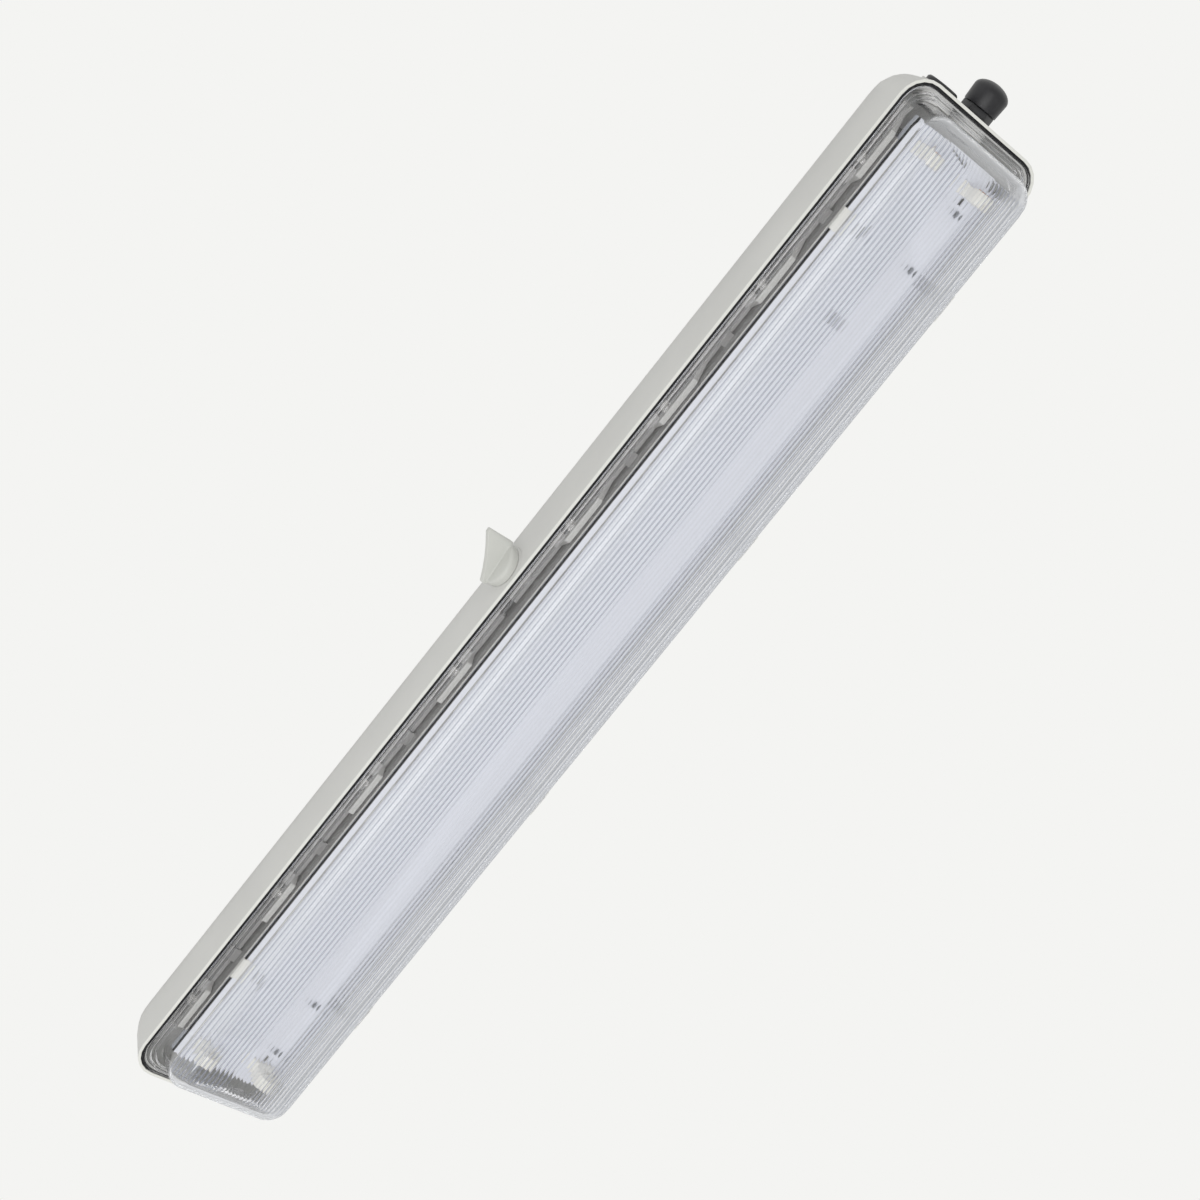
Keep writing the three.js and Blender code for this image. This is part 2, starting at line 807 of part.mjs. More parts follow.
// Seal round the shaft, in the recess of the boss
function makeShaftSeal() {
  const y0 = -lockBossReach + gap;
  const y1 = -lockBossReach + shaftSealWidth;
  const bore = barY(shaftRadius + gap, y0 - overrun, y1 + overrun, lockOffset, -lockDepth);
  return carve(barY(shaftSealRadius, y0, y1, lockOffset, -lockDepth), [], [bore]);
}

// Rack teeth as points along a bar's edge; up is 1 when the teeth point up
function rackPoints(from, to, up) {
  const pitch = (2 * Math.PI * pinionPitchRadius) / pinionTeeth;
  const level = -lockDepth - up * pinionPitchRadius;
  const tip = level + up * toothAddendum;
  const root = level - up * toothDedendum;
  const points = [];
  for (let i = Math.ceil((from - lockOffset) / pitch); i * pitch + lockOffset < to; i++)
    for (const [z, share] of toothSteps(root, tip)) points.push([lockOffset + (i + share / 2) * pitch, z]);
  return points;
}

// The underside of a bar: wedge pads below the strip, listed from left to right
function padPoints(offsets, side) {
  return offsets.flatMap((x) => {
    const inner = side * padShortReach;
    const outer = side * padLongReach;
    const ramp = side > 0 ? padRamp : 0;
    const points = [
      [x - inner - side * padSlant, -barBottom],
      [x - inner, -padDepth],
      [x + outer, -padDepth],
      [x + outer + side * ramp, -barBottom],
    ];
    return side > 0 ? points : points.reverse();
  });
}

// Catches that enter the hooks, and slide out of them when the lock opens
function barCatches(offsets, shift, side) {
  return offsets.map((hook) => {
    const tip = hook + shift + side * catchEntry;
    const foot = hook + shift - side * padShortReach;
    const bottom = -catchTop - catchHeight;
    const shape = outline([
      [foot, -catchTop],
      [tip - side * catchTip, -catchTop],
      [tip, -catchTop - catchTaper],
      [tip, bottom + catchTaper],
      [tip - side * catchTip, bottom],
      [foot, bottom],
    ]);
    return sideways(shape, -barOuterOffset - catchReach, sink - barOuterOffset);
  });
}

// Left lock bar: its rack passes above the pinion, and it slides to -X to lock
function makeLeftBar() {
  const offsets = hookOffsets.filter((x) => x < 0);
  const shift = lockTravel;
  const start = offsets[0] - padLongReach - barEndMargin;
  const rackTop = -lockDepth + pinionPitchRadius + toothDedendum + barHeight;
  const rackRoot = rackTop - barHeight;
  const rackEnd = lockOffset + lockTravel + rackEndMargin;
  const shape = outline([
    [start, -barTop],
    [start, -barBottom],
    ...padPoints(offsets, -1),
    [lockOffset - joggleStart + joggleRun / 2, -barBottom],
    [lockOffset - joggleStart + joggleRun, rackRoot],
    ...rackPoints(lockOffset - rackEndMargin, rackEnd, -1),
    [rackEnd + toothDedendum, rackRoot],
    [rackEnd + toothDedendum, rackTop],
    [lockOffset - joggleStart + joggleRun / 2, rackTop],
    [lockOffset - joggleStart, -barTop],
  ]);
  const strip = sideways(shape, -barOuterOffset, -barInnerOffset);
  return carve(strip, barCatches(offsets, shift, -1));
}

// Right lock bar: its rack passes below the pinion, and it slides to +X to lock
function makeRightBar() {
  const offsets = hookOffsets.filter((x) => x > 0);
  const shift = -lockTravel;
  const end = offsets[offsets.length - 1] + padLongReach + padRamp + barEndMargin;
  const rackStart = lockOffset - lockTravel - rackEndMargin;
  const shape = outline([
    [rackStart - toothDedendum, -barBottom],
    ...padPoints(offsets, 1),
    [end, -barBottom],
    [end, -barTop],
    ...rackPoints(rackStart, lockOffset + rackEndMargin, 1).reverse(),
    [rackStart - toothDedendum, -barTop],
  ]);
  const strip = sideways(shape, -barOuterOffset, -barInnerOffset);
  return carve(strip, barCatches(offsets, shift, 1));
}

// Gear tray: a folded sheet with a flange on the lock side and a stepped wing on the hinge side
function makeTray() {
  const halfX = trayHalfLength;
  const halfY = trayWidth / 2;
  const wingX = wingHalfLength;
  const sheetPlate = block(-halfX, halfX, -halfY, halfY, -trayFace, -trayBack);
  const folds = [
    block(-halfX, halfX, -halfY, sheet - halfY, -trayFace, trayFoldHeight - trayFace),
    block(-wingX, wingX, halfY - sheet, halfY, -trayFace, -wingBack),
    block(-wingX, wingX, halfY - sheet, wingReach, -wingFace, -wingBack),
    block(-wingX, wingX, wingReach - sheet, wingReach, -wingFace, wingLipHeight - wingBack),
  ];
  const bottom = -trayFace - overrun;
  const top = overrun - trayBack;
  const notch = halfY - trayCornerNotch;
  const removed = [-halfX, halfX].map((x) =>
    block(x - trayCornerNotch, x + trayCornerNotch, notch, halfY + overrun, bottom, trayFoldHeight),
  );
  for (const x of trayScrewOffsets)
    removed.push(barZ(screwRadius + gap, bottom, top, x, trayScrewSide, smallRoundSteps));
  for (const pair of [-1, 1]) {
    const shift = (pair * traySlotPitch) / 2;
    removed.push(traySlot(halfX - trayWindowInset, trayWindowSide + shift, traySlotLength));
    for (const side of [-traySlotSide, wingSlotSide])
      for (const end of [-1, 1])
        removed.push(traySlot(end * (halfX - traySlotInset), side + shift, traySlotLength));
  }
  const footSlot = holderSpan / 2 - holderThickness / 2 - footSlotGap - footSlotLength / 2;
  for (const end of [-1, 1])
    for (const side of [-1, 1]) {
      const y = (side * lampPitch) / 2;
      removed.push(traySlot(end * footSlot, y, footSlotLength));
      removed.push(barZ(wireHoleRadius, bottom, top, (end * holderSpan) / 2, y, smallRoundSteps));
    }
  return carve(sheetPlate, folds, removed);
}

// A slot along the tray, centred on a place
function traySlot(x, y, length) {
  return block(x - length / 2, x + length / 2, y - traySlotWidth / 2, y + traySlotWidth / 2,
    -trayFace - overrun, overrun - wingBack);
}

// Tray screw: pan head with a hexagon recess, up into its boss
function makeTrayScrew(x) {
  const seat = -trayFace - gap;
  const crown = seat - screwHeadHeight;
  const shank = barZ(screwRadius, seat - sink, seat + screwLength, x, trayScrewSide, smallRoundSteps);
  const pan = new THREE.CylinderGeometry(screwHeadRadius, screwCrownRadius, screwHeadHeight, smallRoundSteps);
  pan.rotateX(Math.PI / 2).translate(x, trayScrewSide, seat - screwHeadHeight / 2);
  const recess = barZ(screwRecessRadius, crown - overrun, crown + screwRecessDepth, x, trayScrewSide, 6);
  return carve(pan, [shank], [recess]);
}

// Lampholder: a waisted foot under a round head, open on its inner face for the rotor
function makeHolder(end, side) {
  const y = (side * lampPitch) / 2;
  const inner = end * (holderSpan / 2 - holderThickness / 2);
  const outer = end * (holderSpan / 2 + holderThickness / 2);
  const shape = new THREE.Shape();
  const top = -trayFace - gap;
  shape.moveTo(y - holderRadius, top);
  shape.lineTo(y - holderRadius, top - holderWaistHeight / 2);
  shape.lineTo(y - holderWaist, top - holderWaistHeight);
  shape.lineTo(y - holderRadius, -lampAxisDepth);
  shape.absarc(y, -lampAxisDepth, holderRadius, Math.PI, Math.PI * 2, false);
  shape.lineTo(y + holderWaist, top - holderWaistHeight);
  shape.lineTo(y + holderRadius, top - holderWaistHeight / 2);
  shape.lineTo(y + holderRadius, top);
  const start = inner - end * overrun;
  const floor = inner + end * pocketDepth;
  const half = rotorSlotWidth / 2;
  const bottom = -lampAxisDepth - holderRadius - overrun;
  const pocket = barX(rotorRadius + gap, start, floor, y, -lampAxisDepth);
  const entry = block(start, floor, y - half, y + half, bottom, -lampAxisDepth);
  return carve(lengthwise(shape, inner, outer), [], [pocket, entry]);
}

// Rotor of a lampholder: a disc with a slot for the tube's pins
function makeRotor(end, side) {
  const y = (side * lampPitch) / 2;
  const inner = end * (holderSpan / 2 - holderThickness / 2);
  const back = inner + end * rotorThickness;
  const slotFloor = inner + end * rotorSlotDepth;
  const start = inner - end * overrun;
  const half = rotorSlotWidth / 2;
  const reach = rotorRadius + overrun;
  const slot = block(start, slotFloor, y - half, y + half, -lampAxisDepth - reach, -lampAxisDepth + reach);
  return carve(barX(rotorRadius, inner, back, y, -lampAxisDepth), [], [slot]);
}

// Spring contact on the outer face of a lampholder, left or right of its middle
function makeContact(end, side, hand) {
  const y = (side * lampPitch) / 2 + (hand * contactSpacing) / 2;
  const face = end * (holderSpan / 2 + holderThickness / 2 + gap);
  const far = face + end * contactThickness;
  const half = contactWidth / 2;
  const reach = contactLength / 2;
  return block(face, far, y - half, y + half, -lampAxisDepth - reach, -lampAxisDepth + reach);
}

// A hexagon prism along X, with a corner-to-corner radius
const hexX = (radius, x0, x1, y, z) => barX(radius, x0, x1, y, z, 6);

// Gland body: flange outside the wall, thread through it, neck for the cap
function makeGlandBody() {
  const seat = entryBossReach + gap + washerThickness + gap;
  const face = seat + glandFlangeLength;
  return carve(hexX(glandFlangeRadius, seat, face, glandSide, -entryDepth), [
    barX(threadRadius, entryBossReach - threadLength, seat + sink, glandSide, -entryDepth),
    barX(glandNeckRadius, face - sink, face + glandNeckLength, glandSide, -entryDepth),
  ]);
}

// Washer between the gland's flange and the boss
function makeGlandWasher() {
  const seat = entryBossReach + gap;
  return carve(barX(washerRadius, seat, seat + washerThickness, glandSide, -entryDepth), [], [
    barX(threadRadius + gap, seat - overrun, seat + washerThickness + overrun, glandSide, -entryDepth),
  ]);
}

// Closed dome cap, screwed over the gland's neck
function makeGlandCap() {
  const start = entryBossReach + washerThickness + glandFlangeLength + 3 * gap;
  const straight = capLength * (1 - capDomeShare);
  const dome = capLength * capDomeShare;
  const crown = new THREE.Path();
  crown.absellipse(0, straight, capRadius, dome, 0, Math.PI / 2, false);
  const bore = glandNeckRadius + gap;
  const profile = [
    new THREE.Vector2(bore, 0),
    new THREE.Vector2(capRadius - capWall / 4, 0),
    ...crown.getPoints(arcSteps + 1).slice(0, -1),
    new THREE.Vector2(0, capLength),
    new THREE.Vector2(0, capLength - capWall),
    new THREE.Vector2(bore, capLength - capWall),
    new THREE.Vector2(bore, 0),
  ];
  const cap = new THREE.LatheGeometry(profile, roundSteps);
  return cap.rotateZ(-Math.PI / 2).translate(start, glandSide, -entryDepth);
}

// Blanking plug: flat head with a rounded edge and a thread through the wall
function makePlug() {
  const seat = entryBossReach + gap;
  const edge = plugHeadLength / 3;
  const profile = [
    new THREE.Vector2(0, 0),
    new THREE.Vector2(plugHeadRadius, 0),
    new THREE.Vector2(plugHeadRadius, plugHeadLength - edge),
    new THREE.Vector2(plugHeadRadius - edge, plugHeadLength),
    new THREE.Vector2(0, plugHeadLength),
  ];
  const head = new THREE.LatheGeometry(profile, roundSteps);
  head.rotateZ(-Math.PI / 2).translate(seat, plugSide, -entryDepth);
  return carve(head, [barX(threadRadius, entryBossReach - threadLength, seat + sink, plugSide, -entryDepth)]);
}

// Lock nut on the inside of an entry
function makeLockNut(side) {
  const face = entrySeatInside - gap;
  return carve(hexX(lockNutRadius, face - lockNutLength, face, side, -entryDepth), [], [
    barX(entryHoleRadius, face - lockNutLength - overrun, face + overrun, side, -entryDepth),
  ]);
}

// Electronic ballast on the back of the tray, with two feet
function makeBallast() {
  const floor = gap - trayBack;
  const half = ballastLength / 2;
  const side = ballastWidth / 2;
  return carve(block(-half, half, -side, side, floor, floor + ballastHeight), [
    block(-half - ballastFoot, half + ballastFoot, -side, side, floor, floor + ballastFootHeight),
  ]);
}

// Terminal block near the gland, with a round way for each core
function makeTerminal() {
  const floor = gap - trayBack;
  const half = terminalLength / 2;
  const ways = [];
  for (let i = 1; i <= terminalWayCount; i++) {
    const y = (i / (terminalWayCount + 1) - 1 / 2) * terminalWidth;
    ways.push(
      barX(terminalWayRadius, terminalOffset - half - overrun, terminalOffset + half + overrun,
        y, floor + terminalHeight / 2, smallRoundSteps),
    );
  }
  const x = terminalOffset;
  const side = terminalWidth / 2;
  return carve(block(x - half, x + half, -side, side, floor, floor + terminalHeight), [], ways);
}

// A wire: a round section along a smooth curve
function wire(points) {
  const curve = new THREE.CatmullRomCurve3(points.map((p) => new THREE.Vector3(...p)));
  const section = new THREE.Shape();
  section.absarc(0, 0, wireRadius, 0, Math.PI * 2);
  return new THREE.ExtrudeGeometry(section, { steps: wireSteps, curveSegments: 3, extrudePath: curve });
}

// Wire from the ballast to one lampholder, through its hole in the tray
function makeLampWire(end, side) {
  const start = end * (ballastLength / 2 + gap);
  const level = gap - trayBack + ballastHeight / 2;
  const x = (end * holderSpan) / 2;
  const y = (side * lampPitch) / 2;
  return wire([
    [start, side * wireSpread, level],
    [start + end * wireBend, side * wireSpread, level],
    [start + end * wireBend * 3, side * wireLane, level],
    [x / 2 + start / 2, side * wireLane, level],
    [x - end * wireBend * 2, side * wireLane, level],
    [x - end * wireBend / 2, side * wireLane, level],
    [x, y, level - wireBend / 4],
    [x, y, -trayFace],
  ]);
}

// Link from the terminal block to the ballast
function makeMainsLink() {
  const level = gap - trayBack + terminalHeight / 2;
  const start = terminalOffset - terminalLength / 2 - gap;
  return wire([
    [start, 0, level],
    [start - wireBend, 0, level],
    [(start + ballastLength / 2) / 2, 0, level],
    [ballastLength / 2 + wireBend, 0, level],
    [ballastLength / 2 + gap, 0, level],
  ]);
}

// Finishes
const finish = (color, roughness, metalness, opacity = 1) => {
  return new THREE.MeshStandardMaterial({ color, roughness, metalness, opacity, transparent: opacity < 1 });
};
const housingGrey = finish(0xc9cac4, 0.55, 0);
const lockGrey = finish(0xb9bab6, 0.5, 0);
const gasketBlack = finish(0x242428, 0.9, 0);
const clearPlastic = finish(0xe4e8ea, 0.1, 0, 0.35);
const whiteSheet = finish(0xe4e7ee, 0.4, 0.1);
const holderWhite = finish(0xf2f1ec, 0.45, 0);
const copper = finish(0xc87b4a, 0.35, 0.9);
const steel = finish(0x9a9c9f, 0.35, 0.9);
const glandBlack = finish(0x2b2b30, 0.6, 0);
const wireWhite = finish(0xd8d8d4, 0.6, 0);

const fixture = new THREE.Group();
function place(name, geometry, material) {
  const mesh = new THREE.Mesh(geometry, material.clone());
  mesh.name = name;
  fixture.add(mesh);
}

place("housing", makeHousing(), housingGrey);
place("gasket", makeGasket(), gasketBlack);
place("bowl", makeBowl(), clearPlastic);
hingeOffsets.forEach((x, i) => place(`hinge_pin_${i + 1}`, makeHingePin(x), steel));
place("lock_knob", makeKnob(), housingGrey);
place("lock_pinion", makePinion(), lockGrey);
place("shaft_seal", makeShaftSeal(), gasketBlack);
place("lock_bar_left", makeLeftBar(), lockGrey);
place("lock_bar_right", makeRightBar(), lockGrey);
place("gear_tray", makeTray(), whiteSheet);
trayScrewOffsets.forEach((x, i) => place(`tray_screw_${i + 1}`, makeTrayScrew(x), steel));
for (const [endName, end] of [["left", -1], ["right", 1]])
  for (const [sideName, side] of [["near", -1], ["far", 1]]) {
    place(`lampholder_${endName}_${sideName}`, makeHolder(end, side), holderWhite);
    place(`rotor_${endName}_${sideName}`, makeRotor(end, side), holderWhite);
    place(`contact_${endName}_${sideName}_1`, makeContact(end, side, -1), copper);
    place(`contact_${endName}_${sideName}_2`, makeContact(end, side, 1), copper);
    place(`lamp_wire_${endName}_${sideName}`, makeLampWire(end, side), wireWhite);
  }
place("ballast", makeBallast(), whiteSheet);
place("terminal_block", makeTerminal(), holderWhite);
place("mains_link", makeMainsLink(), wireWhite);
place("gland_body", makeGlandBody(), glandBlack);
place("gland_washer", makeGlandWasher(), gasketBlack);
place("gland_cap", makeGlandCap(), glandBlack);
place("gland_lock_nut", makeLockNut(glandSide), glandBlack);
place("blanking_plug", makePlug(), glandBlack);
place("plug_lock_nut", makeLockNut(plugSide), glandBlack);

export default fixture;
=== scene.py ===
"""Looks of the vapor tight light fixture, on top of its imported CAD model. Metres, +Z to the ceiling."""

from math import atan2, cos, pi, radians, sin

import bmesh
import bpy
from mathutils import Matrix, Vector


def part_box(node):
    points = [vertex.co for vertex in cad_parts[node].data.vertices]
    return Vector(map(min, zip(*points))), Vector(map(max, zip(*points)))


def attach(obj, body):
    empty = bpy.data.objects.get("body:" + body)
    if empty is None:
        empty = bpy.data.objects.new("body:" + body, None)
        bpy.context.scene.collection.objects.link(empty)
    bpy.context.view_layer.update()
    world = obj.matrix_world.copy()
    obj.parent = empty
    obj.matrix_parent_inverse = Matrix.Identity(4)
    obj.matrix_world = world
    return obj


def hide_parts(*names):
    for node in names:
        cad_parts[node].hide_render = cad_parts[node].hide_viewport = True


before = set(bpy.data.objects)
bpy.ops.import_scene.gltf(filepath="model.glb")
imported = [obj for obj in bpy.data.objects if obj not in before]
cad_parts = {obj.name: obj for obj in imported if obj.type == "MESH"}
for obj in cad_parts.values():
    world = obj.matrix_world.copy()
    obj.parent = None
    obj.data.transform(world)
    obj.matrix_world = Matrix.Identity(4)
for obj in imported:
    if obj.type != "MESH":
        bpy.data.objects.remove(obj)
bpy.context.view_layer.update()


# Camera
# Stands below the fixture on its lock side and looks up along it, rolled as in the photograph. The
# photograph is squeezed in its width, so this is the nearest that a camera with square pixels comes.
camera_azimuth = radians(-20)
camera_elevation = radians(54.5)
camera_roll = radians(34.6)
camera_distance = 2.364
camera_target = Vector((0.0498, -0.0017, -0.0623))
camera_angle = radians(29.5)

toward = Vector((
    sin(camera_azimuth) * cos(camera_elevation),
    cos(camera_azimuth) * cos(camera_elevation),
    sin(camera_elevation),
))
level_right = toward.cross(Vector((0, 0, 1))).normalized()
level_down = toward.cross(level_right)
image_right = level_right * cos(camera_roll) + level_down * sin(camera_roll)
image_up = level_right * sin(camera_roll) - level_down * cos(camera_roll)
bpy.ops.object.camera_add()
camera = bpy.context.object
camera.name = "camera"
camera.matrix_world = Matrix.LocRotScale(
    camera_target - toward * camera_distance,
    Matrix((image_right, image_up, -toward)).transposed(),
    None,
)
camera.data.angle = camera_angle
bpy.context.scene.camera = camera


# Housing
# A long tub of glass-reinforced polyester, hot-pressed in one piece with its lip, rails, posts and
# hinge ears. Light grey, with a dry satin skin, and screwed to the ceiling through two slots.
def srgb(code):
    """A hex colour as linear red, green, blue and alpha."""
    shares = [int(code[i:i + 2], 16) / 255 for i in (1, 3, 5)]
    return (*[c / 12.92 if c <= 0.04045 else ((c + 0.055) / 1.055) ** 2.4 for c in shares], 1)


def add(material, kind, inputs=None, **settings):
    """Adds a node to a material, with its settings, and with values or links for its inputs."""
    node = material.node_tree.nodes.new(kind)
    for name, value in settings.items():
        setattr(node, name, value)
    for socket, value in (inputs or {}).items():
        if isinstance(value, bpy.types.NodeSocket):
            material.node_tree.links.new(value, node.inputs[socket])
        else:
            node.inputs[socket].default_value = value
    return node


def new_material(name):
    """A new node material, and the surface shader that it comes with."""
    material = bpy.data.materials.new(name)
    material.use_nodes = True
    return material, material.node_tree.nodes["Principled BSDF"]


def clean_copy(node, edge_radius, smooth_angle=35):
    """A copy of a node's mesh with its faces merged, its edges rounded and its curves shaded smooth."""
    bpy.ops.object.select_all(action="DESELECT")
    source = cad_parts[node]
    piece = bpy.data.objects.new(node + "_skin", source.data.copy())
    bpy.context.collection.objects.link(piece)
    piece.data.materials.clear()
    piece.select_set(True)
    bpy.context.view_layer.objects.active = piece
    bpy.ops.object.mode_set(mode="EDIT")
    bpy.ops.mesh.select_all(action="SELECT")
    bpy.ops.mesh.remove_doubles(threshold=1e-6)
    bpy.ops.mesh.dissolve_limited(angle_limit=radians(0.5))
    bpy.ops.object.mode_set(mode="OBJECT")
    if edge_radius:
        bevel = piece.modifiers.new("edges", "BEVEL")
        bevel.width = edge_radius
        bevel.segments = 2
        bevel.limit_method = "ANGLE"
        bevel.angle_limit = radians(smooth_angle + 5)
        bevel.harden_normals = False
        bpy.ops.object.modifier_apply(modifier="edges")
    bpy.ops.object.shade_smooth_by_angle(angle=radians(smooth_angle))
    return piece


def dress(node, body, material, edge_radius, smooth_angle=35):
    """Puts a clean copy in a node's place, with its material, on its body."""
    piece = clean_copy(node, edge_radius, smooth_angle)
    piece.data.materials.append(material)
    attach(piece, body)
    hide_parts(node)
    return piece


# Pressed polyester: dry, satin, faintly clouded where the resin flowed and finely grained by its glass. A
# painted highlight makes it pale along the rim. Inside, where little light comes, painted shade draws it
# darker, out to just short of its outer skin
resin_cloud = 0.111
glass_grain = 0.0024
grain_depth = 0.0004
inside_middle_y = -0.027
inside_half_width = 0.057
inside_half_length = 0.612
inside_top = -0.0025
inside_foot = -0.0564
rim_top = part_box("gear_tray")[0].z + 0.0012
polyester, surface = new_material("pressed_polyester_light_grey")
place = add(polyester, "ShaderNodeTexCoord").outputs["Object"]
flow = add(polyester, "ShaderNodeTexNoise", {
    "Vector": place, "Scale": 1 / resin_cloud, "Detail": 4.0, "Roughness": 0.55,
})
speckle = add(polyester, "ShaderNodeTexNoise", {"Vector": place, "Scale": 1 / glass_grain, "Detail": 2.0})
tone = add(polyester, "ShaderNodeMix", {
    "Factor": flow.outputs["Fac"], "A": srgb("#CDCDCB"), "B": srgb("#DDDDDB"),
}, data_type="RGBA")
grain = add(polyester, "ShaderNodeBump", {
    "Height": speckle.outputs["Fac"], "Strength": 0.12, "Distance": grain_depth,
})
split = add(polyester, "ShaderNodeSeparateXYZ", {"Vector": place})
off_middle = add(polyester, "ShaderNodeMath", {
    0: split.outputs["Y"], 1: inside_middle_y,
}, operation="SUBTRACT")
across = add(polyester, "ShaderNodeMath", {0: off_middle.outputs[0]}, operation="ABSOLUTE")
along = add(polyester, "ShaderNodeMath", {0: split.outputs["X"]}, operation="ABSOLUTE")
within_sides = add(polyester, "ShaderNodeMath", {
    0: across.outputs[0], 1: inside_half_width,
}, operation="LESS_THAN")
within_ends = add(polyester, "ShaderNodeMath", {
    0: along.outputs[0], 1: inside_half_length,
}, operation="LESS_THAN")
under_back = add(polyester, "ShaderNodeMath", {
    0: split.outputs["Z"], 1: inside_top,
}, operation="LESS_THAN")
over_rails = add(polyester, "ShaderNodeMath", {
    0: split.outputs["Z"], 1: inside_foot,
}, operation="GREATER_THAN")
within = add(polyester, "ShaderNodeMath", {
    0: within_sides.outputs[0], 1: within_ends.outputs[0],
}, operation="MULTIPLY")
deep = add(polyester, "ShaderNodeMath", {
    0: under_back.outputs[0], 1: over_rails.outputs[0],
}, operation="MULTIPLY")
inside = add(polyester, "ShaderNodeMath", {0: within.outputs[0], 1: deep.outputs[0]}, operation="MULTIPLY")
# Painted shade: the inside of the housing drawn darker
shaded_inside = add(polyester, "ShaderNodeMix", {
    "Factor": inside.outputs[0], "A": tone.outputs["Result"], "B": srgb("#949392"),
}, data_type="RGBA")
# Painted highlight: the lowest band along the rim drawn pale
rim = add(polyester, "ShaderNodeMath", {0: split.outputs["Z"], 1: rim_top}, operation="LESS_THAN")
rim_highlight = add(polyester, "ShaderNodeMix", {
    "Factor": rim.outputs[0], "A": shaded_inside.outputs["Result"], "B": srgb("#EFEFEB"),
}, data_type="RGBA")
polyester.node_tree.links.new(rim_highlight.outputs["Result"], surface.inputs["Base Color"])
polyester.node_tree.links.new(grain.outputs["Normal"], surface.inputs["Normal"])
surface.inputs["Roughness"].default_value = 0.48
surface.inputs["IOR"].default_value = 1.52

dress("housing", "housing", polyester, edge_radius=0.0008)


# Gasket
# A cord of black foamed polyurethane, poured into the groove under the housing's shelf, on which the
# bowl's flange presses. A small ring of the same foam seals the hole for the knob's shaft.

# Foamed polyurethane: dull, near black, pitted by its open cells of about a millimetre
foam_cell = 0.0011
pore_depth = 0.0004
foam, surface = new_material("foamed_polyurethane_black")
place = add(foam, "ShaderNodeTexCoord").outputs["Object"]
cells = add(foam, "ShaderNodeTexVoronoi", {"Vector": place, "Scale": 1 / foam_cell})
pores = add(foam, "ShaderNodeBump", {
    "Height": cells.outputs["Distance"], "Strength": 0.5, "Distance": pore_depth,
})
foam.node_tree.links.new(pores.outputs["Normal"], surface.inputs["Normal"])
surface.inputs["Base Color"].default_value = srgb("#232326")
surface.inputs["Roughness"].default_value = 0.85

dress("gasket", "housing", foam, edge_radius=0.0008)
dress("shaft_seal", "housing", foam, edge_radius=0.0003)


# Gear tray
# A folded plate of 1 mm sheet steel, powder-coated white. It carries the lampholders underneath and
# the control gear on its back, and is held by four screws.

# Powder coat: smooth, cool white, faintly rippled like orange peel. The gap along the near fold is painted
# black as shade, and the step in front of the far fold is painted dark as shade
peel_size = 0.0038
peel_depth = 0.0005
near_fold_face = -0.0597
near_fold_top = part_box("gear_tray")[0].z + 0.0046
far_step_start = 0.0596
far_step_end = 0.0640
far_step_fade = 0.001
powder, surface = new_material("powder_coated_steel_white")
place = add(powder, "ShaderNodeTexCoord").outputs["Object"]
peel = add(powder, "ShaderNodeTexNoise", {"Vector": place, "Scale": 1 / peel_size, "Detail": 1.0})
ripple = add(powder, "ShaderNodeBump", {
    "Height": peel.outputs["Fac"], "Strength": 0.08, "Distance": peel_depth,
})
powder.node_tree.links.new(ripple.outputs["Normal"], surface.inputs["Normal"])
split = add(powder, "ShaderNodeSeparateXYZ", {"Vector": place})
# Painted shade: the gap along the near fold drawn near black
near_fold = add(powder, "ShaderNodeMath", {
    0: split.outputs["Y"], 1: near_fold_face,
}, operation="LESS_THAN")
fold_foot = add(powder, "ShaderNodeMath", {
    0: split.outputs["Z"], 1: near_fold_top,
}, operation="LESS_THAN")
near_edge = add(powder, "ShaderNodeMath", {
    0: near_fold.outputs[0], 1: fold_foot.outputs[0],
}, operation="MULTIPLY")
# Painted shade: the step in front of the far fold drawn dark
in_step = add(powder, "ShaderNodeMapRange", {
    "Value": split.outputs["Y"], "From Min": far_step_end - far_step_fade, "From Max": far_step_end,
    "To Min": 1.0, "To Max": 0.0,
})
past_fold = add(powder, "ShaderNodeMath", {
    0: split.outputs["Y"], 1: far_step_start,
}, operation="GREATER_THAN")
far_step_shade = add(powder, "ShaderNodeMath", {
    0: in_step.outputs["Result"], 1: past_fold.outputs[0],
}, operation="MULTIPLY")
shaded_step = add(powder, "ShaderNodeMix", {
    "Factor": far_step_shade.outputs[0], "A": srgb("#EBEEF8"), "B": srgb("#34363C"),
}, data_type="RGBA")
gap_shaded = add(powder, "ShaderNodeMix", {
    "Factor": near_edge.outputs[0], "A": shaded_step.outputs["Result"], "B": srgb("#2A2C30"),
}, data_type="RGBA")
powder.node_tree.links.new(gap_shaded.outputs["Result"], surface.inputs["Base Color"])
surface.inputs["Roughness"].default_value = 0.35

dress("gear_tray", "housing", powder, edge_radius=0.0002)
dress("ballast", "housing", powder, edge_radius=0.0006)


# Screws and hinge pins
# Zinc-plated steel: four screws with pan heads that hold the tray to the housing, and four drawn rods
# in the housing's hinge ears, on which the bowl's knuckles turn.

# Zinc plate: bright metal with a grey bloom that dulls it in spots of a millimetre or two
zinc_spot = 0.0014
zinc, surface = new_material("zinc_plated_steel")
place = add(zinc, "ShaderNodeTexCoord").outputs["Object"]
bloom_and_painted_light = add(zinc, "ShaderNodeTexNoise", {"Vector": place, "Scale": 1 / zinc_spot})
dulling = add(zinc, "ShaderNodeMapRange", {"Value": bloom_and_painted_light.outputs["Fac"], "To Min": 0.25, "To Max": 0.45})
zinc.node_tree.links.new(dulling.outputs["Result"], surface.inputs["Roughness"])
surface.inputs["Base Color"].default_value = srgb("#A9ABAE")
surface.inputs["Metallic"].default_value = 1.0

